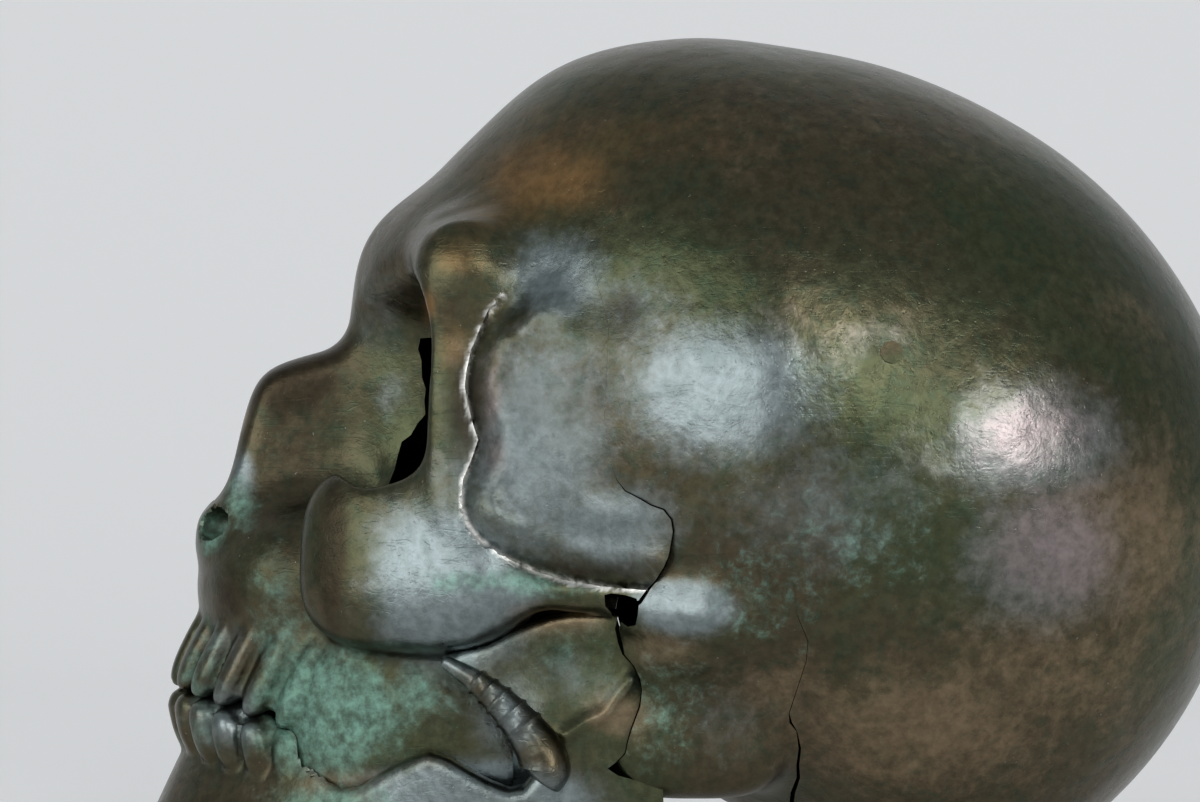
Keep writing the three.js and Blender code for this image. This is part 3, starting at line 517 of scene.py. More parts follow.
EAR_CRACK = [
    [-0.013, -0.324, 0.05], [-0.004, -0.345, 0.1], [0.013, -0.386, 0.12], [0.01, -0.43, 0.1],
    [-0.002, -0.473, 0.12], [-0.024, -0.549, 0.15], [-0.02, -0.57, 0.5], [-0.006, -0.59, 0.15],
    [0.002, -0.63, 0.5], [-0.001, -0.67, 0.6], [0.002, -0.7, 0.7], [-0.008, -0.74, 0.9],
    [-0.02, -1.1, 0.5]]
ARCH_HOLE = [
    [-0.43, -0.287], [-0.415, -0.283], [-0.385, -0.286], [-0.36, -0.293], [-0.355, -0.305],
    [-0.357, -0.33], [-0.362, -0.352], [-0.378, -0.356], [-0.395, -0.345], [-0.41, -0.343],
    [-0.416, -0.325], [-0.428, -0.312]]


def side(line):
    """The places of a joint line in millimetres, without its openings."""
    return places(np.asarray(line)[:, :2])


def saw(line, low=-110.0, high=110.0, share=1.0):
    """The strip of a joint line: the line moved half its opening to each side, and closed."""
    line = np.asarray(line)
    at = side(line)
    along = np.gradient(at, axis=0)
    across = np.column_stack([-along[:, 1], along[:, 0]]) / np.linalg.norm(along, axis=1)[:, None]
    half = share * line[:, 2:] / 2
    return prism(np.vstack([at + across * half, (at - across * half)[::-1]]), low, high)


RIGHT_SHARE = 0.2
JOINTS = (BROW_JOINT, TEMPLE_CRACK, TEMPLE_BACK, JAW_CRACK, EAR_TOP, EAR_CRACK)
LEFT_CUTS = [saw(line, high=0) for line in JOINTS]
RIGHT_CUTS = [saw(line, low=0, share=RIGHT_SHARE) for line in JOINTS]
SAW_CUTS = LEFT_CUTS + RIGHT_CUTS

print("joints:", len(JOINTS), "on each side")

# %% [markdown]
# ## Shapes in the side view
# The sections are told apart by outlines in the side view. The jaw's own outline is used as a field too,
# so that its edges can be rounded.

# %% Outlines, and the distance to one
def flowing(points, between=4, closed=False):
    """A cubic through the points (Catmull-Rom), with so many steps between each two."""
    points = np.asarray(points, dtype=float)
    if closed:
        before, after = points[[-1]], points[:2]
    else:
        before, after = 2 * points[[0]] - points[[1]], 2 * points[[-1]] - points[[-2]]
    a, b, c, d = (np.vstack([before, points, after])[k:] for k in range(4))
    count = len(d)
    t = (np.arange(between) / between)[:, None, None]
    a, b, c, d = a[:count], b[:count], c[:count], d
    curve = b + 0.5 * t * (c - a + t * (2 * a - 5 * b + 4 * c - d + t * (3 * (b - c) + d - a)))
    curve = curve.transpose(1, 0, 2).reshape(-1, points.shape[1])
    return curve if closed else np.vstack([curve, points[-1]])


def line_distance(points, line):
    """Distance from each point to a chain of straight pieces."""
    nearest = np.full(len(points), np.inf)
    for start, end in zip(line[:-1], line[1:]):
        along = end - start
        t = np.clip((points - start) @ along / (along @ along), 0, 1)
        nearest = np.minimum(nearest, np.linalg.norm(points - start - t[:, None] * along, axis=1))
    return nearest


def outline_distance(points, outline):
    """Distance to a closed outline, negative inside: a point is inside if it sees an odd number of sides."""
    x, z = points.T
    inside = np.zeros(len(points), dtype=bool)
    for (x1, z1), (x2, z2) in zip(outline, np.roll(outline, -1, axis=0)):
        crossing = (z1 > z) != (z2 > z)
        inside ^= crossing & (x < (x2 - x1) * (z - z1) / ((z2 - z1) or 1e-9) + x1)
    return np.where(inside, -1.0, 1.0) * line_distance(points, np.vstack([outline, outline[:1]]))


def oval(centre_x, half_length, half_width, count=72):
    """Points of an ellipse in plan."""
    turn = np.linspace(0, 2 * np.pi, count, endpoint=False)
    return np.column_stack([centre_x + half_length * np.cos(turn), half_width * np.sin(turn)])


# %% [markdown]
# From the joint lines come the outlines of the sections. A temple plate is larger than its opening, because
# its front edge laps under the rim of the face.

# %% The outlines of the sections
FAR, LAP = -200.0, 4.0
face_outline = np.vstack([side(BROW_JOINT), side(TEMPLE_RIM)[1:], side(JAW_CRACK)[1:],
                          [[side(JAW_CRACK)[-1, 0], FAR], [FAR, FAR], [FAR, side(BROW_JOINT)[0, 1]]]])
temple_outline = np.vstack([side(TEMPLE_RIM), side(TEMPLE_CRACK)[1:], side(TEMPLE_BACK)[1:-1]])
rim_along = np.gradient(side(TEMPLE_RIM), axis=0)
rim_along /= np.linalg.norm(rim_along, axis=1)[:, None]
lap = LAP * np.sin(np.linspace(0, np.pi, len(rim_along)))[:, None] ** 0.25
lapped_rim = side(TEMPLE_RIM) + lap * np.column_stack([rim_along[:, 1], -rim_along[:, 0]])
plate_outline = np.vstack([lapped_rim, side(TEMPLE_CRACK)[1:], side(TEMPLE_BACK)[1:-1]])
ear_outline = np.vstack([side(JAW_CRACK), side(EAR_CRACK)[::-1], side(EAR_TOP)[::-1][1:-1]])
BASE_CENTRE, BASE_HALF_LENGTH, BASE_HALF_WIDTH, BASE_TOP = -43.2, 40, 31, -44.5


def base_oval(grow):
    """The oval section under the head, a little larger or smaller."""
    plan = oval(BASE_CENTRE, BASE_HALF_LENGTH + grow, BASE_HALF_WIDTH + grow)
    return prism(plan, FAR, BASE_TOP + grow, "z")


table = prism([[FAR, FAR], [-FAR, FAR], [-FAR, -FAR], [FAR, -FAR]], FAR, -HEART[2], "z")

# %% [markdown]
# ## Putting a section in the scene
# A sawn section keeps soft shading on its skin and crisp corners where it was sawn. The skin's shading
# follows the slope of the field, so slivers left by a saw cut can't be seen in a highlight.

# %% Normals from the field
AGREEMENT = 0.8


def skin_points(mesh):
    """The points of a mesh, back in sculpting millimetres."""
    points = np.empty(len(mesh.vertices) * 3, dtype=np.float32)
    mesh.vertices.foreach_get("co", points)
    return points.reshape(-1, 3).astype(float) * 1000 - HEART


def field_normals(mesh, field):
    """Corner normals: the field's slope where the face follows the skin, else the face's own normal."""
    slope = gradient(field, skin_points(mesh))
    slope /= np.maximum(np.linalg.norm(slope, axis=1), 1e-6)[:, None]
    loops = np.empty(len(mesh.loops), dtype=np.int32)
    mesh.loops.foreach_get("vertex_index", loops)
    flat = np.empty(len(mesh.polygons) * 3, dtype=np.float32)
    mesh.polygons.foreach_get("normal", flat)
    sizes = np.empty(len(mesh.polygons), dtype=np.int32)
    mesh.polygons.foreach_get("loop_total", sizes)
    faces = np.repeat(flat.reshape(-1, 3), sizes, axis=0)
    smooth = slope[loops]
    agree = np.sum(smooth * faces, axis=1)
    smooth = smooth * np.sign(agree)[:, None]
    return np.where(np.abs(agree)[:, None] > AGREEMENT, smooth, faces)


# %% [markdown]
# Where two saw cuts cross, thin slivers can come loose. A foundry would file them off; here every point is
# labelled with the part it belongs to, and only the largest part is kept.

# %% Keeping the largest part
def largest_part(mesh):
    """Each point takes the lowest number joined to it by edges, until none changes; the commonest stays."""
    pairs = np.empty(len(mesh.edges) * 2, dtype=np.int32)
    mesh.edges.foreach_get("vertices", pairs)
    first, second = pairs.reshape(-1, 2).T
    label, before = np.arange(len(mesh.vertices)), None
    while not np.array_equal(label, before):
        before = label.copy()
        lowest = np.minimum(label[first], label[second])
        np.minimum.at(label, first, lowest)
        np.minimum.at(label, second, lowest)
        label = label[label]
    stray = np.flatnonzero(label != np.bincount(label).argmax())
    body = bmesh.new()
    body.from_mesh(mesh)
    body.verts.ensure_lookup_table()
    bmesh.ops.delete(body, geom=[body.verts[number] for number in stray], context="VERTS")
    body.to_mesh(mesh)
    body.free()
    return len(stray)


# %% [markdown]
# Each section then becomes an object that rides on the one rigid body and stands for its CAD nodes.

# %% Adding a piece
def add_piece(name, mesh, slot, *nodes, field=None, sharp=40.0):
    """A piece with soft shading and crisp sawn edges, standing for the nodes named."""
    print(name, "loses", largest_part(mesh), "points of slivers")
    mesh.name = name
    mesh.polygons.foreach_set("use_smooth", np.ones(len(mesh.polygons), dtype=bool))
    if field is None:
        mesh.set_sharp_from_angle(angle=math.radians(sharp))
    else:
        mesh.normals_split_custom_set(field_normals(mesh, field).tolist())
    piece = bpy.data.objects.new(name, mesh)
    bpy.context.scene.collection.objects.link(piece)
    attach(piece, "root")
    if nodes:
        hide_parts(*nodes)
    print(name, "has", len(mesh.polygons), "faces")
    return piece


def mirrored(mesh):
    """The same section for the other side: y changes sign, and every face turns round."""
    other = mesh.copy()
    other.transform(Matrix.Diagonal((1, -1, 1, 1)))
    other.flip_normals()
    return other


# %% [markdown]
# ## The face
# The face is a sheet of bronze 2.6 mm thick: it ends outside at the skin and inside at the same skin
# pushed in by the wall. The teeth are solid. Behind the rim of the left orbit the sheet has a ragged gap,
# where the metal didn't fill the mould, and there is a small hole under the left cheek arch. Where the
# branches of the jaw lie over the face, it is cut away. The grid is a little under a millimetre, the
# finest that keeps the whole face under 200,000 triangles.

# %% Cast and saw the face
WALL, FACE_GRID, PANEL_GRID, BASE_GRID, BARELY = 2.6, 0.93, 0.9, 1.3, 0.02
FACE_LOW, FACE_HIGH = (-136, -66, -92), (-24, 66, 60)
started = time.time()


def smooth_head(p):
    """The head without its teeth, for the lining and the brain case."""
    return head_field(p, teeth=False)


def face_shell(p):
    """The head's skin less its lining."""
    return np.maximum(head_field(p), -(smooth_head(p) + WALL))


ORBIT_GAP = [
    [-70.0, 25.6], [-76.3, 25.2], [-76.8, 23.0], [-76.1, 20.6], [-76.0, 17.2], [-75.2, 14.8], [-75.5, 12.4],
    [-75.3, 9.6], [-76.9, 7.8], [-78.3, 5.4], [-80.2, 4.0], [-81.0, 1.2], [-81.6, -1.6], [-82.8, -4.6],
    [-70.0, -6.0]]
ORBIT_GAP_OUT, ORBIT_GAP_IN = -27, -11
NOSE_HALF = np.array([[0, 0.05], [0.45, 0], [0.85, 0.12], [1, 0.32],
                      [0.88, 0.55], [0.6, 0.8], [0.3, 0.96], [0, 1]])
NOSE_HALF_WIDTH, NOSE_HEIGHT, NOSE_FOOT = 9.0, 23, 9.5
nose_side = flowing(NOSE_HALF, 4) * [NOSE_HALF_WIDTH, NOSE_HEIGHT] - [0, NOSE_FOOT]
nose_opening = prism(np.vstack([nose_side, (nose_side * [-1, 1])[-2:0:-1]]), -145, -91, "x")
arch_hole = prism(places(ARCH_HOLE), -110, 0)


face = make_mesh("face", *surface_net(face_shell, FACE_LOW, FACE_HIGH, FACE_GRID))
face = cut(face, prism(face_outline), "INTERSECT")
orbit_gap = prism(ORBIT_GAP, ORBIT_GAP_OUT, ORBIT_GAP_IN)
BRANCH = [[-57, -110], [-57, -34.5], [-50, -31.6], [-40, -30.2], [-15, -30.2], [-15, -110]]
BRANCH_INSIDE, BRANCH_OUTSIDE = 36, 90
branches = [prism(BRANCH, BRANCH_INSIDE, BRANCH_OUTSIDE), prism(BRANCH, -BRANCH_OUTSIDE, -BRANCH_INSIDE)]
for tool in [nose_opening, arch_hole, base_oval(BARELY), table, orbit_gap] + branches + SAW_CUTS:
    face = cut(face, tool)
print("face sawn after", round(time.time() - started, 1), "s")
add_piece("face", face, "face_skin", "face_casting", "eye_cup_left", "eye_cup_right", field=head_field)

# %% [markdown]
# ## The brain case
# This is the largest section, and a smooth one. Two fans of rays from its centre give its skin and lining.

# %% Cast and saw the brain case
SKIN_STEP, LINING_STEP = 1.0, 2.5


def vault_shape(step, depth):
    """A closed skin at a depth, from rays every so many degrees round the front-to-back axis."""
    polar, turn = np.radians(np.arange(step, 180, step)), np.radians(np.arange(0, 360, step))
    points = ray_cast(np.zeros(3), fan(polar, turn, "x"), smooth_head, depth)
    return make_mesh("vault", points, fan_faces(len(polar), len(turn)))


vault = cut(cut(vault_shape(SKIN_STEP, 0.0), vault_shape(LINING_STEP, WALL)), table)
neighbours = [prism(face_outline), prism(temple_outline), prism(ear_outline)]
for tool in neighbours + [arch_hole, base_oval(BARELY)] + SAW_CUTS:
    vault = cut(vault, tool)
add_piece("cranium", vault, "cranium_skin", "cranium_casting", field=smooth_head)
print("brain case after", round(time.time() - started, 1), "s")

# %% [markdown]
# ## The temple plates
# Each plate fills the hollow behind the rim of the orbit. Its front edge slips under the rim, in a narrow
# groove. Behind that it swells a little, then dips, and comes up flush at its top and back.

# %% Cast and saw the temple plates
rim_line = side(TEMPLE_RIM)


def breadth(flat, field):
    """How far out the skin lies at places in the side view, marching in from outside."""
    start = np.column_stack([flat[:, 0], np.full(len(flat), 80.0), flat[:, 1]])
    return march(start, 1, field)[:, 1]


rim_places = flowing(rim_line, 2)
RIM_STEP = 1.2
rim_lift = breadth(rim_places, smooth_head) - breadth(rim_places, vault_field) - RIM_STEP
print("the rim stands proud of the brain case by", np.round([rim_lift.min(), rim_lift.max()], 1), "mm")


FOLD, FOLD_AT, FOLD_WIDE, DIP, DIP_AT, DIP_WIDE = 1.2, 5.5, 3.2, 0.5, 15, 5.0
GROOVE_DEEP, GROOVE_WIDE, LIFT_REACH, RAISED_REACH = 0.7, 1.3, 15, 26


def temple_field(p):
    """The brain case lifted as far as the nearest rim stands proud, averaged by 1/r^4, with a fold by it."""
    gap = np.hypot(p[:, [0]] - rim_places[:, 0], p[:, [2]] - rim_places[:, 1])
    weight = 1 / (gap**2 + 16.0) ** 2
    from_rim = gap.min(axis=1)
    soft_gap = 1.15 * np.sum((gap**2 + 1.0) ** -3.0, axis=1) ** (-1 / 6)
    lift = weight @ rim_lift / weight.sum(axis=1) * np.exp(-((soft_gap / LIFT_REACH) ** 2))
    fold = FOLD * np.exp(-(((from_rim - FOLD_AT) / FOLD_WIDE) ** 2))
    dip = DIP * np.exp(-(((soft_gap - DIP_AT) / DIP_WIDE) ** 2))
    groove = GROOVE_DEEP * np.exp(-((from_rim / GROOVE_WIDE) ** 2))
    raised = (lift + (fold - dip) - groove) * smoothstep(RAISED_REACH - soft_gap, 0, 8)
    from_back = line_distance(p[:, [0, 2]], side(TEMPLE_BACK))
    keep = (1 - smoothstep(p[:, 2], 29, 40)) * smoothstep(from_back, 1, 9)
    return keep * (vault_field(p) - raised) + (1 - keep) * smooth_head(p)


def temple_shell(p):
    """A sheet one wall thick under the plate's skin."""
    d = temple_field(p)
    return np.maximum(d, -(d + WALL))


plate = make_mesh("plate", *surface_net(temple_shell, (-78, 15, -34), (-20, 76, 50), PANEL_GRID))
plate = cut(plate, prism(plate_outline), "INTERSECT")
for tool in [saw(TEMPLE_CRACK), saw(TEMPLE_BACK)]:
    plate = cut(plate, tool)
for name, mesh in (("left", cut(mirrored(plate), arch_hole)), ("right", plate)):
    add_piece("temple_" + name, mesh, "temple_skin", "temple_plate_" + name, field=temple_field)

# %% [markdown]
# ## The ear panels and the base section
# The ear panels lie between the two open joints and carry the root of the cheek arch. The base section is
# a shallow oval with a round opening, through which the clay core was dug out after the pouring. The left
# panel has wide joints, as in the photograph, and the right one tight ones.

# %% Cast and saw the ear panels
def smooth_shell(p):
    """The smooth head's skin less its lining."""
    d = smooth_head(p)
    return np.maximum(d, -(d + WALL))


panel = make_mesh("panel", *surface_net(smooth_shell, (-46, 0.4, -89), (8, 76, -12), PANEL_GRID))
panel = cut(panel, prism(ear_outline), "INTERSECT")
for name, panel, tools in (("left", mirrored(panel), [arch_hole] + LEFT_CUTS), ("right", panel, RIGHT_CUTS)):
    for tool in [base_oval(BARELY), table] + tools:
        panel = cut(panel, tool)
    add_piece("ear_" + name, panel, "ear_skin", "ear_panel_" + name, field=smooth_head)

# %% [markdown]
# The base section is sawn out of the same shell by a smaller oval, which leaves a hair of air all round it.
# Through its round opening one can look up into the empty head.

# %% Cast and saw the base section
CORE_HOLE_CENTRE, CORE_HOLE_RADIUS = -24.3, 15
under = make_mesh("under", *surface_net(smooth_shell, (-88, -36, -89), (2, 36, -40), BASE_GRID))
core_hole = prism(oval(CORE_HOLE_CENTRE, CORE_HOLE_RADIUS, CORE_HOLE_RADIUS), FAR, 0, "z")
base = cut(cut(cut(under, base_oval(-BARELY), "INTERSECT"), core_hole), table)
add_piece("base_section", base, "base_skin", "base_casting", field=smooth_head)
print("panels and base after", round(time.time() - started, 1), "s")

# %% [markdown]
# ## The lower jaw
# In plan the jaw is a horseshoe, 10 mm thick. Its front leans to the profile of the chin and narrows
# towards the teeth. From the side it is cut to one outline, and its branch is dished.

# %% The jaw's field
CHIN_LEAN = np.array([[0, 0.01], [0.11, -0.009], [0.19, 0.023], [0.29, 0.07], [0.34, 0.091], [0.39, 0.07],
                      [0.42, 0.056], [0.46, 0.087]]) * VAULT_RADIUS
JAW_OUTLINE = places([
    [-1.412, -0.522], [-1.44, -0.561], [-1.428, -0.597], [-1.407, -0.648], [-1.428, -0.689],
    [-1.474, -0.789], [-1.507, -0.872], [-1.492, -0.944], [-1.42, -0.983], [-1.1, -0.983],
    [-0.8, -0.983], [-0.51, -0.983], [-0.33, -0.94], [-0.24, -0.78], [-0.25, -0.62],
    [-0.28, -0.5], [-0.29, -0.4], [-0.33, -0.33], [-0.45, -0.325], [-0.55, -0.34],
    [-0.68, -0.39], [-0.79, -0.43], [-0.72, -0.5], [-0.66, -0.55], [-0.61, -0.6],
    [-0.59, -0.69], [-0.641, -0.72], [-0.73, -0.68], [-0.819, -0.64], [-0.931, -0.692],
    [-1.02, -0.73], [-1.14, -0.61], [-1.24, -0.547], [-1.35, -0.525]])
JAW_MIDDLE, JAW_LONG, JAW_WIDE, JAW_THICK, JAW_SQUARENESS = -40.5, 94.0, 50.0, 10.5, 1.8
CHIN_NARROWS, CHIN_HEIGHT, JAW_ROUNDING, CLEAR_OF_HEAD = 0.14, 60.0, 3.0, 0.15
RIDGE_HEIGHT, RIDGE_HALF_WIDTH = 1.3, 1.5
DISH_CENTRE, DISH_RADIUS, DISH_BLEND = [-48.0, 66.0, -40.0], 18.6, 4.0
jaw_side = flowing(JAW_OUTLINE, 2, closed=True)
jaw_ridge = places([[-0.515, -0.597], [-0.47, -0.567], [-0.427, -0.549], [-0.404, -0.513], [-0.371, -0.477]])


def jaw_outer(p):
    """Distance to the outside of the horseshoe: |x/a|^1.8 + |y/b|^1.8 = 1 in plan, leaned and narrowed."""
    x, y, z = p.T
    up = z + HEART[2]
    front = smoothstep((JAW_MIDDLE - x) / JAW_LONG, 0.3, 0.85)
    along = np.abs(x - JAW_MIDDLE - np.interp(up, *CHIN_LEAN.T) * front) / JAW_LONG
    narrowing = CHIN_NARROWS * front * smoothstep(up / CHIN_HEIGHT, 0.2, 0.65)
    across = np.abs(y) / (1 - narrowing) / JAW_WIDE
    return oval_distance(along, across, JAW_LONG, JAW_WIDE, JAW_SQUARENESS)


def jaw_field(p):
    """The horseshoe within its side outline, dished, with a ridge and teeth, clear of the head's skin."""
    p = np.column_stack([p[:, 0], np.abs(p[:, 1]), p[:, 2]])
    outer = jaw_outer(p)
    flat = p[:, [0, 2]]
    ridge = RIDGE_HEIGHT * np.exp(-(line_distance(flat, jaw_ridge) / RIDGE_HALF_WIDTH) ** 2)
    ring = -join(-(outer - ridge), outer + JAW_THICK, JAW_ROUNDING)
    d = -join(-ring, -outline_distance(flat, jaw_side), JAW_ROUNDING)
    d = carve(d, np.linalg.norm(p - DISH_CENTRE, axis=1) - DISH_RADIUS, DISH_BLEND)
    d = join(d, gum_field(p, -1, LOWER_LEAN, LOWER_GUM), 2.0)
    d = join(d, tooth_row(p, -1, LOWER_TOOTH, LOWER_LEAN, LOWER_SET_BACK), 1.8)
    behind_the_face = smoothstep(p[:, 0], -59, -54)
    return np.maximum(d, CLEAR_OF_HEAD - head_field(p) - 60 * behind_the_face)


# %% [markdown]
# The jaw is cast in one, teeth and all, and is sawn where its branches meet the head, so that the crack
# behind the branch runs on through it.

# %% Cast and saw the jaw
jaw = make_mesh("jaw", *surface_net(jaw_field, (-139, -54, -89), (-20, 54, -26), PANEL_GRID))
jaw_cracks = [saw(JAW_CRACK, high=0), saw(JAW_CRACK, low=0, share=RIGHT_SHARE)]
for tool in [table, prism(ear_outline)] + jaw_cracks:
    jaw = cut(jaw, tool)
add_piece("lower_jaw", jaw, "jaw_skin", "jaw_casting", field=jaw_field)
print("jaw after", round(time.time() - started, 1), "s")

# %% [markdown]
# ## The struts
# A ribbed bar lies on the front edge of each branch of the jaw. It starts as a thin cord under the
# cheekbone and swells to a rounded foot. Its ribs are rings that stand out from it.

# %% Sweep the struts
STRUT_LINE = places([[-0.79, -0.435], [-0.724, -0.475], [-0.665, -0.522], [-0.615, -0.575], [-0.572, -0.635],
                     [-0.562, -0.675], [-0.577, -0.7]])
STRUT_RADII = [1.2, 2.2, 3.1, 3.9, 4.9, 5.2, 4.2]
STRUT_RINGS, RING_HEIGHT, RING_HALF_WIDTH = [0.2, 0.27, 0.34, 0.43, 0.52], 0.45, 0.012
STRUT_ROWS, STRUT_AROUND, STRUT_LIFT = 120, 40, 0.2
FOOT_START, FOOT_SHARE, TIP_SHARE = 0.93, 0.07, 0.02


def strut_shape(rows, around):
    """Rings round the strut's line. The foot closes by a quarter circle, the tip by a square root."""
    t = np.linspace(0, 1, rows)
    spine = flowing(STRUT_LINE, 20)
    share = np.linspace(0, 1, len(spine))
    x, z = (np.interp(t, share, spine[:, k]) for k in (0, 1))
    radius = np.interp(t, np.linspace(0, 1, len(STRUT_RADII)), STRUT_RADII)
    radius += sum(RING_HEIGHT * np.exp(-((t - at) / RING_HALF_WIDTH) ** 2) for at in STRUT_RINGS)
    foot = np.sqrt(1 - np.clip((t - FOOT_START) / FOOT_SHARE, 0, 1) ** 2 * 0.999)
    radius *= foot * np.sqrt(np.clip(t / TIP_SHARE, 0.001, 1))
    start = np.column_stack([x, np.full(rows, 70.0), z])
    centre = march(start, 1, lambda p: np.minimum(jaw_outer(p), head_field(p)), 40)
    centre = centre + [0, STRUT_LIFT, 0]
    along = np.gradient(centre, axis=0)
    along /= np.linalg.norm(along, axis=1)[:, None]
    out = np.array([0, 1.0, 0]) - along * along[:, [1]]
    out /= np.linalg.norm(out, axis=1)[:, None]
    across = np.cross(along, out)
    turn = np.linspace(0, 2 * np.pi, around, endpoint=False)[None, :, None]
    spoke = np.cos(turn) * out[:, None] + np.sin(turn) * across[:, None]
    ring = centre[:, None] + radius[:, None, None] * spoke
    r, c = np.meshgrid(np.arange(rows - 1), np.arange(around), indexing="ij")
    n = (c + 1) % around
    quads = np.stack([r * around + c, r * around + n,
                      (r + 1) * around + n, (r + 1) * around + c], axis=-1)
    caps = [list(range(around))[::-1], list(range((rows - 1) * around, rows * around))]
    return ring.reshape(-1, 3), quads.reshape(-1, 4).tolist() + caps


strut = make_mesh("strut", *strut_shape(STRUT_ROWS, STRUT_AROUND))
add_piece("strut_right", strut, "strut_skin", "jaw_strut_right")
add_piece("strut_left", mirrored(strut), "strut_skin", "jaw_strut_left")

# %% [markdown]
# ## Patina
# The bronze was coloured by hand with heat and acids, and has been handled since. Brown and olive lie
# over each other in clouds; rust-red and golden patches sit where the metal was rubbed; a blue-grey bloom
# lies on the temple and the cheekbone, and verdigris in the sheltered places. Where each colour lies is
# painted on the points of the skin, as soft spots in the side view, because a patina follows the places a
# hand reached and not a pattern. One list is no patina but painted shade: its spots darken places that
# lie in shade. The nodes then break the spots up. The lists below give each spot as back, up, half length
# and half height in millimetres, and its strength.

# %% Where the colours lie
SPOTS = {
    "rust": [
        (66, -12, 18, 24, 0.75), (25, -52, 30, 14, 0.8), (50, -40, 24, 18, 0.6), (-35, -50, 8, 5, 0.8),
        (-92, 2, 5, 5, 0.3), (-102, 18, 8, 5, 0.2), (64, 30, 16, 10, 0.35), (-48, -31, 12, 4, 0.8),
        (-4, -44, 12, 8, 0.5), (20, 66, 60, 12, 0.3), (4, 28, 20, 8, 0.3), (-28, -36, 8, 5, 0.8),
        (-90, -65, 12, 4, 0.85)],
    "verdigris": [
        (-8, -25, 18, 14, 0.34), (10, -15, 20, 14, 0.32), (-95, -50, 14, 12, 1.2),
        (-122, -45, 9, 22, 0.4), (-58, -23, 18, 4, 0.6), (-76, -45, 14, 10, 0.5),
        (-28, -48, 12, 16, 0.36), (-45, -35, 14, 8, 0.3), (-120, -15, 6, 6, 0.6),
        (-114, -8, 5, 10, 0.5), (-105, -35, 10, 10, 0.45), (-106, -25, 6, 10, 0.45),
        (-92, -68, 14, 4, 0.6)],
    "gold": [
        (-49, 57, 15, 10, 0.62), (-62, 50, 10, 6, 0.3), (-68, 42, 8, 6, 0.36), (-74, 31, 2, 4, 0.6),
        (-68, 24, 4, 8, 0.35), (-113, 10, 2, 6, 0.4), (-35, 64, 30, 10, 0.3)],
    "steel": [
        (-16, 14, 20, 14, 1.0), (-48, 37, 11, 10, 0.8), (-34, 31, 15, 9, 0.42), (-72, -2, 6, 8, 0.35),
        (-70, -25, 15, 17, 1.3), (-58, -25, 9, 6, 0.8), (-66, -4, 5, 9, 0.5), (-51, 2, 17, 26, 0.8),
        (-58, -50, 8, 12, 0.6), (-82, 13, 7, 8, 0.32), (-23, -28, 9, 5, 1.6), (-14, -52, 12, 12, 0.35),
        (-52, -62, 5, 4, 0.5), (-64, -67, 22, 7, 1.4), (-113, -3, 3, 6, 0.8), (-38, -12, 14, 10, 0.9),
        (-46, -42, 12, 9, 0.35), (2, -8, 26, 20, 0.42), (46, 4, 20, 13, 0.8), (13, 24, 14, 8, 0.3),
        (48, -18, 18, 16, 0.75), (-85, 30, 7, 12, 0.4), (-116, -38, 10, 8, 0.4),
        (-116, -52, 10, 8, 0.75)],
    # painted shade: spots that darken places lying in shade, such as the cheekbone's front and the orbit's
    # top
    "painted_shade": [
        (-93, -18, 3.6, 16, 1.0), (-104, 16, 11, 8, 1.0), (-115, -28, 6, 7, 0.6), (-70, 30, 8, 10, 0.3),
        (-100, 2, 12, 10, 0.4), (-104, -20, 9, 12, 0.5), (-68, 30, 6, 8, 0.5), (-110, -4, 6, 12, 0.4),
        (-35, 31, 6, 6, 0.6), (-66, 12, 4, 11, 0.9), (-98, 22, 12, 6, 0.7), (-44, -21, 15, 3, 0.7),
        (-53, 10, 4, 12, 0.35), (-43, 14, 5, 10, 0.25)],
    "matte": [
        (-52, 6, 16, 26, 1.0), (-40, -12, 14, 10, 0.7), (-46, -42, 14, 10, 0.8),
        (-95, -52, 20, 16, 0.6), (-20, -52, 16, 12, 0.6), (-68, 10, 4, 16, 0.6), (0, -25, 20, 14, 0.5)],
    "mauve": [
        (-62, 18, 3.2, 12, 1.0), (-60, 2, 3, 6, 0.6), (50, -16, 18, 14, 1.0), (44, 6, 16, 11, 0.8),
        (13, 24, 14, 8, 0.4), (-32, -37, 8, 4, 0.8), (-50, -30, 10, 4, 0.5)],
}


def painted(points, spots):
    """The largest of the spots at each point: strength times exp(-r^2), r in half sizes, from the side."""
    total = np.zeros(len(points))
    for x, z, long, tall, strength in spots:
        r2 = ((points[:, 0] - x) / long) ** 2 + ((points[:, 2] - z) / tall) ** 2
        total = np.maximum(total, strength * np.exp(-r2))
    return total


# %% [markdown]
# Three colour attributes carry the paint. "tint" holds rust, verdigris, gold and steel; "shade" holds the
# painted shade, matte and mauve; "age" holds bare metal with a painted glint along the rim, painted shade
# in the hollows, rubbed ridges, and the unpatinated inside, which is painted near-black as shade. Hollows
# and ridges come from the field itself: where its mean a little way off differs from its value, the skin
# is bent.

# %% Painting a piece
REACH, RIM_WEAR_AND_GLINT, RIGHT_BLOOM = 1.5, 0.45, 0.4
RIDGE_GAIN, RIDGE_START, HOLLOW_SHADE_GAIN = 2.2, 0.12, 2.5


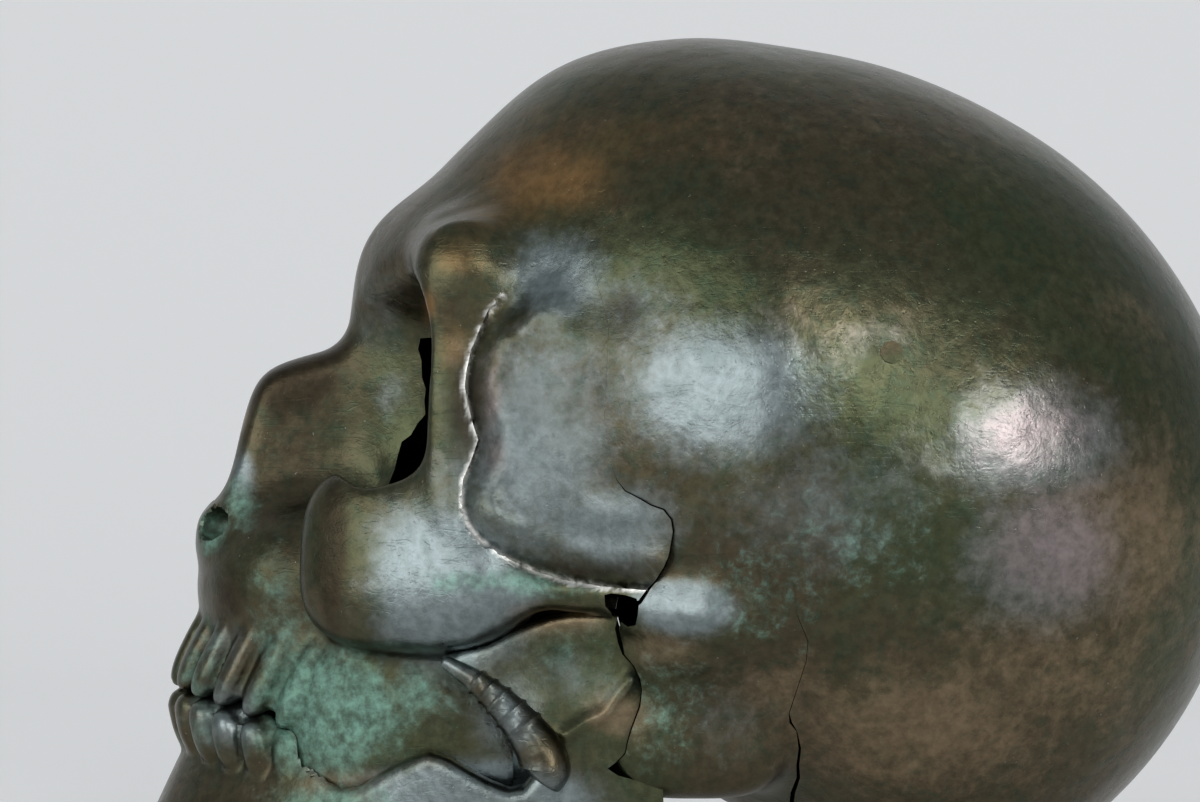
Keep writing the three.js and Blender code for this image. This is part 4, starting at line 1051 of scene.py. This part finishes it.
def paint(piece, field):
    """Write the attributes tint, shade and age on the points of a piece."""
    mesh = piece.data
    points = skin_points(mesh)
    tint = np.column_stack([painted(points, SPOTS[name]) for name in ("rust", "verdigris", "gold", "steel")])
    tint[:, 3] *= 1 - RIGHT_BLOOM * smoothstep(points[:, 1], 5, 25)
    spots = [painted(points, SPOTS[name]) for name in ("painted_shade", "matte", "mauve")]
    shade = np.column_stack(spots + [np.ones(len(points))])
    middle = field(points)
    around = sum(field(points + REACH * e) + field(points - REACH * e) for e in np.eye(3)) / 6
    bend = (around - middle) / REACH
    near = line_distance(points[:, [0, 2]], rim_line)
    ridge = np.clip(bend * RIDGE_GAIN - RIDGE_START, 0, 1)
    # painted shade: concave skin gets a mask that darkens it as if in shade
    hollow = np.clip(-bend * HOLLOW_SHADE_GAIN, 0, 1)
    # points under the skin are painted near-black further on, as shade
    inside = smoothstep(-middle, 0.8, 1.8)
    # the rim band carries bare metal and a painted glint
    age = np.column_stack([np.exp(-(near / RIM_WEAR_AND_GLINT) ** 2), hollow, ridge, inside])
    for name, values in (("tint", tint), ("shade", shade), ("age", age)):
        layer = mesh.attributes.new(name, "FLOAT_COLOR", "POINT")
        layer.data.foreach_set("color", values.astype(np.float32).ravel())


# %% [markdown]
# ## Bronze
# A material is a tree of nodes. These helpers add a node and link it in one line, so that a recipe further
# down reads as a list of steps.

# %% Building blocks for materials
def put(tree, kind, inputs=None, **settings):
    """Add a node, set what it is told, and link or fill its inputs."""
    node = tree.nodes.new("ShaderNode" + kind)
    for name, value in settings.items():
        setattr(node, name, value)
    for key, value in (inputs or {}).items():
        if isinstance(value, bpy.types.NodeSocket):
            tree.links.new(value, node.inputs[key])
        else:
            node.inputs[key].default_value = value
    return node


def noise(tree, place, scale, detail=4.0, roughness=0.55, distortion=0.0):
    """Cloudy noise between 0 and 1, so many clouds to the metre."""
    inputs = {"Vector": place, "Scale": scale, "Detail": detail,
              "Roughness": roughness, "Distortion": distortion}
    return put(tree, "TexNoise", inputs).outputs["Fac"]


def maths(tree, operation, a, b=0.0, c=0.0):
    """One sum."""
    return put(tree, "Math", {0: a, 1: b, 2: c}, operation=operation).outputs[0]


def times(tree, a, b):
    """The product of two values."""
    return maths(tree, "MULTIPLY", a, b)


def ramp(tree, value, low, high):
    """Zero below low, one above high, and an S-curve between."""
    inputs = {"Value": value, "From Min": low, "From Max": high}
    return put(tree, "MapRange", inputs, interpolation_type="SMOOTHSTEP").outputs["Result"]


def blend(tree, amount, first, second):
    """From the first colour to the second."""
    node = put(tree, "Mix", {0: amount}, data_type="RGBA")
    for socket, value in ((node.inputs[6], first), (node.inputs[7], second)):
        if isinstance(value, bpy.types.NodeSocket):
            tree.links.new(value, socket)
        else:
            socket.default_value = (*value, 1)
    return node.outputs[2]


# %% [markdown]
# All the colours are linear shares of red, green and blue. The metal's own reflections are bright, so the
# patina over it is written dark: a bronze that has stood for years gives back a tenth of the light.

# %% The colours of the patina
# the two near-blacks, for the hollows and the lining, are painted shade; silver is wear and a painted glint
OLIVE, BROWN, HOLLOW_SHADE = (0.06, 0.068, 0.036), (0.075, 0.062, 0.038), (0.02, 0.022, 0.02)
RUST, GOLD = (0.22, 0.16, 0.1), (0.38, 0.2, 0.075)
STEEL, SLATE, MAUVE = (0.22, 0.26, 0.27), (0.13, 0.16, 0.16), (0.24, 0.205, 0.205)
VERDIGRIS, MOSS, GROOVE = (0.18, 0.36, 0.28), (0.03, 0.055, 0.035), (0.03, 0.12, 0.06)
UMBER, INSIDE_SHADE, PALE = (0.035, 0.026, 0.017), (0.006, 0.006, 0.005), (0.42, 0.43, 0.4)
BARE, SILVER = (0.42, 0.39, 0.34), (0.8, 0.79, 0.75)

# %% [markdown]
# The straps, pins, dowels and plugs are small and mostly hidden. They get a plain cast bronze of two
# colours in clouds, with a coarse grain that is rougher where the sand of the mould bit.

# %% Plain bronze
def new_material(name):
    """An empty node material: its tree, its shader, and the object's own coordinates."""
    material = bpy.data.materials.new(name)
    material.use_nodes = True
    tree = material.node_tree
    return material, tree, tree.nodes["Principled BSDF"], put(tree, "TexCoord").outputs["Object"]


def plain_bronze(name, first=UMBER, rough=0.55):
    """Bronze without painted spots, for the pieces that are carried over: two colours, mottled."""
    material, tree, shader, place = new_material(name)
    patches, grain = noise(tree, place, 140, 5, 0.6), noise(tree, place, 900, 3, 0.6)
    colour = blend(tree, ramp(tree, patches, 0.4, 0.65), first, OLIVE)
    colour = blend(tree, times(tree, ramp(tree, grain, 0.62, 0.75), 0.4), colour, MOSS)
    tree.links.new(colour, shader.inputs["Base Color"])
    shader.inputs["Metallic"].default_value = 1.0
    tree.links.new(maths(tree, "MULTIPLY_ADD", grain, 0.3, rough - 0.15), shader.inputs["Roughness"])
    height = maths(tree, "MULTIPLY_ADD", grain, 0.3, patches)
    bump = put(tree, "Bump", {"Height": height, "Strength": 0.7, "Distance": 0.0004})
    tree.links.new(bump.outputs[0], shader.inputs["Normal"])
    return material


# %% [markdown]
# The sections' bronze reads the paint from the attributes, and has a family of noises to break it up with,
# from clouds as wide as a hand to specks finer than a millimetre.

# %% Reading the paint, and the textures
ATTRIBUTES = {"tint": ("rust", "verdigris", "gold", "steel"), "shade": ("painted_shade", "matte", "mauve", "spare"),
              "age": ("wear_and_glint", "hollow", "ridge", "inside")}


def paint_masks(tree):
    """Every painted colour as a socket, by name."""
    masks = {}
    for attribute, names in ATTRIBUTES.items():
        node = put(tree, "Attribute", attribute_name=attribute)
        parts = put(tree, "SeparateColor", {0: node.outputs["Color"]}).outputs
        masks.update(zip(names, [*parts, node.outputs["Alpha"]]))
    return masks


def textures(tree, place, speckle):
    """Noises by name; "mixed" is patches and speckles in one, and "dust" only its brightest specks."""
    made = {"clouds": noise(tree, place, 22, 3, 0.5, 0.4), "patches": noise(tree, place, 85, 6, 0.6, 0.5),
            "blots": noise(tree, place, 240, 4, 0.6, 0.8), "grain": noise(tree, place, 420, 5, 0.65),
            "specks": noise(tree, place, 1500, 2, 0.5), "speckles": noise(tree, place, speckle, 8, 0.7, 0.3),
            "dust": ramp(tree, noise(tree, place, 1100, 2, 0.5), 0.74, 0.8)}
    made["mixed"] = maths(tree, "MULTIPLY_ADD", made["speckles"], 0.6, times(tree, made["patches"], 0.4))
    return made


def broken(tree, mask, texture, spread, low=0.2, high=0.75):
    """A painted spot whose edge is moved in and out by a texture."""
    centred = maths(tree, "SUBTRACT", texture, 0.5)
    return ramp(tree, maths(tree, "MULTIPLY_ADD", centred, spread, mask), low, high)


# %% [markdown]
# The colours go on as they did on the real head: brown and olive first, then rust, the grey bloom, gold
# and verdigris. Painted shade follows, on the places that lie in shade, and last painted shade in the
# hollows, made green where verdigris lies.

# %% The patina's colours, one over another
def grey_bloom(tree, masks, noises):
    """Steel and slate in blots, olive where it is thin, mauve where it was painted."""
    grey = blend(tree, times(tree, ramp(tree, noises["blots"], 0.35, 0.7), 0.6), STEEL, SLATE)
    grey = blend(tree, times(tree, ramp(tree, noises["clouds"], 0.5, 0.7), 0.4), grey, OLIVE)
    return blend(tree, broken(tree, masks["mauve"], noises["mixed"], 1.2, 0.15, 0.85), grey, MAUVE)


def patina(tree, masks, noises, greenish, olive):
    """Each painted colour over the clouds, with its own break-up and strength, mottled by the grain."""
    colour = blend(tree, ramp(tree, noises["clouds"], 0.35, 0.65), olive, BROWN)
    colour = blend(tree, times(tree, ramp(tree, noises["blots"], 0.45, 0.72), 0.5), colour, MOSS)
    rusty = broken(tree, masks["rust"], noises["mixed"], 2.2, 0.1, 1.0)
    colour = blend(tree, times(tree, rusty, 0.85), colour, RUST)
    steely = broken(tree, masks["steel"], noises["mixed"], 1.1, 0.15, 0.8)
    colour = blend(tree, times(tree, steely, 0.85), colour, grey_bloom(tree, masks, noises))
    golden = broken(tree, masks["gold"], noises["patches"], 0.5, 0.1, 1.0)
    colour = blend(tree, golden, colour, GOLD)
    greens = blend(tree, ramp(tree, noises["grain"], 0.15, 0.75), MOSS, VERDIGRIS)
    colour = blend(tree, times(tree, greenish, 0.8), colour, greens)
    # painted shade: places that lie in shade are darkened towards umber
    shade_spots = broken(tree, masks["painted_shade"], noises["patches"], 0.5)
    colour = blend(tree, times(tree, shade_spots, 0.75), colour, UMBER)
    # painted shade in the hollows, made green where verdigris lies
    mossy = times(tree, masks["verdigris"], ramp(tree, noises["patches"], 0.35, 0.6))
    colour = blend(tree, times(tree, masks["hollow"], 0.75), colour, blend(tree, mossy, HOLLOW_SHADE, GROOVE))
    mottle = maths(tree, "MULTIPLY_ADD", ramp(tree, noises["grain"], 0.3, 0.7), 0.36, 0.82)
    return put(tree, "VectorMath", {0: colour, "Scale": mottle}, operation="SCALE").outputs[0]


# %% [markdown]
# Wear and painted light come over the patina. Bare metal shows in pieces along the temple's rim, painted
# silver so that it also stands for a glint, and a little on every raised edge; pale dust lies in specks,
# and the inside of the casting is painted near-black as shade, and dull.

# %% Wear, dust, a painted glint and painted shade
def wear_and_glint(tree, masks, noises, colour):
    """Silver wear and painted glint on the rim, bare bronze on ridges, dust, painted shade on the lining."""
    # bare metal and a painted glint along the temple's rim
    glinting_rim = times(tree, ramp(tree, noises["blots"], 0.32, 0.6), masks["wear_and_glint"])
    colour = blend(tree, glinting_rim, colour, SILVER)
    raised = maths(tree, "MULTIPLY_ADD", noises["grain"], 0.5, masks["ridge"])
    colour = blend(tree, times(tree, ramp(tree, raised, 0.5, 1.2), 0.6), colour, BARE)
    colour = blend(tree, times(tree, noises["dust"], 0.3), colour, PALE)
    # painted shade: the lining is made near-black
    return blend(tree, masks["inside"], colour, INSIDE_SHADE)


# %% [markdown]
# The relief is what makes the highlights look like metal. Slow waves are the wax of the model, the grain is
# the mould, and pits, scratches and file marks are the work on the cold metal. All of it is far shallower
# than a millimetre, so it is left to a bump and not put in the mesh.

# %% The relief
SCRATCHES = ((0.7, 260), (-0.35, 330), (1.2, 190))


def scratches(tree, place, turn, density, thin):
    """Long fine lines one way: where a noise stretched along one axis passes through its middle value."""
    stretched = {"Vector": place, "Rotation": (0, turn, 0), "Scale": (0.05, 1, 1)}
    value = noise(tree, put(tree, "Mapping", stretched).outputs[0], density, 1, 0.5)
    return ramp(tree, maths(tree, "ABSOLUTE", maths(tree, "SUBTRACT", value, 0.5)), thin, 0.0)


def relief(tree, place, noises, filed, pits, scratch):
    """The sum of all the heights, each noise with its own share."""
    waves = noise(tree, place, 60, 2, 0.5)
    height = maths(tree, "MULTIPLY_ADD", waves, 1.2, times(tree, noises["patches"], 0.35))
    for texture, share in (("grain", 0.14), ("specks", 0.03), ("blots", 0.06), ("dust", 0.04)):
        height = maths(tree, "MULTIPLY_ADD", noises[texture], share, height)
    pit = ramp(tree, noise(tree, place, 700, 1, 0.5), 0.7, 0.78)
    height = maths(tree, "MULTIPLY_ADD", pit, -0.15 * pits, height)
    for turn, density in SCRATCHES:
        lines = scratches(tree, place, turn, density, 0.012)
        lines = times(tree, lines, ramp(tree, noises["blots"], 0.4, 0.6))
        height = maths(tree, "MULTIPLY_ADD", lines, -0.1 * scratch, height)
    if filed:
        stretch = put(tree, "Mapping", {"Vector": place, "Scale": (0.06, 1, 1)}).outputs[0]
        height = maths(tree, "MULTIPLY_ADD", noise(tree, stretch, 900, 2, 0.5), 0.16 * filed, height)
    return height


# %% [markdown]
# The parts come together in one recipe. It takes the olive of the section, how fine its verdigris is, and
# how much it was filed, pitted and scratched. Verdigris isn't metal, so it lowers the metallic share and
# roughens the skin, as do the matte places and the places of painted shade.

# %% Bronze with paint
def bronze(name, olive=OLIVE, speckle=110, filed=0.0, pits=0.3, scratch=0.15):
    """Patinated bronze: clouds of colour, each broken up by noise, over a cast and filed surface."""
    material, tree, shader, place = new_material(name)
    masks, noises = paint_masks(tree), textures(tree, place, speckle)
    greenish = broken(tree, masks["verdigris"], noises["speckles"], 1.3)
    colour = patina(tree, masks, noises, greenish, olive)
    tree.links.new(wear_and_glint(tree, masks, noises, colour), shader.inputs["Base Color"])
    clean = maths(tree, "SUBTRACT", 1.0, masks["inside"])
    metal = maths(tree, "MULTIPLY_ADD", greenish, -0.6, 1.0)
    tree.links.new(times(tree, clean, metal), shader.inputs["Metallic"])
    rough = maths(tree, "MULTIPLY_ADD", noises["grain"], 0.2, 0.19)
    duller = (masks["matte"], 0.16), (greenish, 0.22), (masks["hollow"], 0.25), (masks["painted_shade"], 0.1)
    for amount, share in duller:
        rough = maths(tree, "MULTIPLY_ADD", amount, share, rough)
    tree.links.new(rough, shader.inputs["Roughness"])
    height = relief(tree, place, noises, filed, pits, scratch)
    bump = put(tree, "Bump", {"Height": height, "Strength": 1.0, "Distance": 0.0006})
    tree.links.new(bump.outputs[0], shader.inputs["Normal"])
    return material


# %% [markdown]
# The smooth sections share one bronze with fine verdigris. The face was filed most, the struts are browner
# and more scratched, and the jaw is as it came from the mould. Each piece is painted by the field that
# made its skin, so that the painted shade lies in its own hollows.

# %% Each section gets its bronze and its paint
skin_bronze = bronze("skin bronze", speckle=300)
face_bronze = bronze("face bronze", filed=0.3, scratch=0.3)
jaw_bronze = bronze("jaw bronze")
strut_bronze = bronze("strut bronze", olive=BROWN, scratch=0.6)
FINISH = {"face": (face_bronze, head_field), "cranium": (skin_bronze, smooth_head),
          "temple_right": (skin_bronze, temple_field), "temple_left": (skin_bronze, temple_field),
          "ear_right": (skin_bronze, smooth_head), "ear_left": (skin_bronze, smooth_head),
          "base_section": (skin_bronze, smooth_head), "lower_jaw": (jaw_bronze, jaw_field),
          "strut_right": (strut_bronze, smooth_head), "strut_left": (strut_bronze, smooth_head)}
for name, (material, field) in FINISH.items():
    piece = bpy.data.objects[name]
    piece.data.materials.clear()
    piece.data.materials.append(material)
    paint(piece, field)
print("painted:", ", ".join(FINISH))

# %% [markdown]
# The straps, pins and dowels are hidden behind the skin, and the plugs are filed flush with it. They keep
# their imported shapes, and only get a bronze of their own.

# %% The fixings and plugs that are carried over
hidden_bronze = plain_bronze("fixing bronze", rough=0.75)
plug_bronze = plain_bronze("plug bronze", BROWN, 0.4)
CARRIED = ("strap", "pin", "dowel", "plug")
for piece in bpy.data.objects:
    if piece.type == "MESH" and piece.name not in FINISH and any(word in piece.name for word in CARRIED):
        for place in piece.material_slots:
            place.material = plug_bronze if "plug" in piece.name else hidden_bronze

# %% [markdown]
# ## Light, floor and camera
# The photograph was taken with a long lens from about a metre away, level with the temple. The camera
# looks straight along the head's breadth.

# %% Camera
CAMERA = np.array([-39.55, -1041.7, 12.36])
camera_data = bpy.data.cameras.new("camera")
LENS, SENSOR = 150, 36
camera_data.lens, camera_data.sensor_width, camera_data.clip_end = LENS, SENSOR, 50
camera = bpy.data.objects.new("camera", camera_data)
bpy.context.scene.collection.objects.link(camera)
camera.location = to_frame(CAMERA)
camera.rotation_euler = (math.radians(90), 0, 0)
bpy.context.scene.camera = camera
print("the camera stands", round(float(np.linalg.norm(CAMERA)) / 1000, 2), "m from the heart of the head")

# %% [markdown]
# A photographer hangs a roll of pale paper behind and under the object, so that no edge shows. One sheet
# carries the floor, a quarter circle and the wall. A little glow, which only the camera and reflections
# see, makes it as pale as in the photograph without more light on the bronze.

# %% Paper sweep: floor, bend and wall in one sheet
SWEEP_FRONT, SWEEP_BACK, SWEEP_BEND, SWEEP_TOP = -3.0, 0.7, 0.8, 3.0
SWEEP_LEFT, SWEEP_RIGHT, PAPER_GLOW = -3.0, 1.0, 0.2
PAPER_WHITE, WARM_GLOW = (0.82, 0.82, 0.82, 1), (1.0, 0.98, 0.96, 1)
turn = np.linspace(0, np.pi / 2, 24)
profile = np.vstack([[SWEEP_FRONT, 0], np.column_stack([SWEEP_BACK + SWEEP_BEND * np.sin(turn),
                                                       SWEEP_BEND * (1 - np.cos(turn))]),
                     [SWEEP_BACK + SWEEP_BEND, SWEEP_TOP]])
count = len(profile)
sheet = np.vstack([np.column_stack([np.full(count, x), profile]) for x in (SWEEP_LEFT, SWEEP_RIGHT)])
i = np.arange(count - 1)
sweep_mesh = bpy.data.meshes.new("paper sweep")
sweep_mesh.from_pydata(sheet.tolist(), [], np.stack([i, i + count, i + count + 1, i + 1], axis=-1).tolist())
sweep_mesh.polygons.foreach_set("use_smooth", np.ones(count - 1, dtype=bool))
sweep = bpy.data.objects.new("paper sweep", sweep_mesh)
bpy.context.scene.collection.objects.link(sweep)
paper = bpy.data.materials.new("paper")
paper.use_nodes = True
paper_shader = paper.node_tree.nodes["Principled BSDF"]
paper_shader.inputs["Base Color"].default_value = PAPER_WHITE
paper_shader.inputs["Roughness"].default_value = 0.9
paper_shader.inputs["Emission Color"].default_value = WARM_GLOW
rays = put(paper.node_tree, "LightPath")
seen = maths(paper.node_tree, "MAXIMUM", rays.outputs["Is Camera Ray"], rays.outputs["Is Glossy Ray"])
glow = times(paper.node_tree, seen, PAPER_GLOW)
paper.node_tree.links.new(glow, paper_shader.inputs["Emission Strength"])
sweep_mesh.materials.append(paper)

# %% [markdown]
# Polished bronze is lit by what it reflects. Each soft highlight in the photograph is the mirror image of a
# window or a lamp, so each lamp is put where a mirror lying on the skin at that place would show it.

# %% Lamps
def skin_seen_at(x, z, field):
    """Where the side view's line through (x, z) meets the skin, and the skin's direction there."""
    p = march(np.array([[x, -100.0, z]]), -1, field)
    slope = gradient(field, p)[0]
    return p[0], slope / np.linalg.norm(slope)


LAMPS = {  # where its reflection is seen (x, z), how far off (mm), width and height (m), power (W)
    "window": (-26, 19, 900, 0.88, 0.4, 2.9),
    "lamp": (38, 8, 1500, 0.46, 0.28, 4.7),
    "ceiling light": (7, 23, 1500, 0.3, 0.24, 3.0),
}
for name, (x, z, distance, wide, tall, power) in LAMPS.items():
    at, normal = skin_seen_at(x, z, smooth_head)
    view = (CAMERA - at) / np.linalg.norm(CAMERA - at)
    towards = 2 * (view @ normal) * normal - view
    print(name, "stands towards", np.round(towards, 2))
    light = bpy.data.lights.new(name, "AREA")
    light.shape, light.size, light.size_y, light.energy = "RECTANGLE", wide, tall, power
    lamp = bpy.data.objects.new(name, light)
    bpy.context.scene.collection.objects.link(lamp)
    lamp.location = to_frame(at + towards * distance)
    lamp.rotation_euler = Vector(-towards).to_track_quat("-Z", "Y").to_euler()

# %% [markdown]
# The rest of the room gives an even, slightly cool light.

# %% Ambient light
SKY, SKY_STRENGTH = (0.9, 0.95, 1.0, 1), 0.5
world = bpy.data.worlds.new("studio")
bpy.context.scene.world = world
world.use_nodes = True
background = world.node_tree.nodes["Background"]
background.inputs["Color"].default_value = SKY
background.inputs["Strength"].default_value = SKY_STRENGTH
bpy.context.scene.view_settings.view_transform = "Standard"
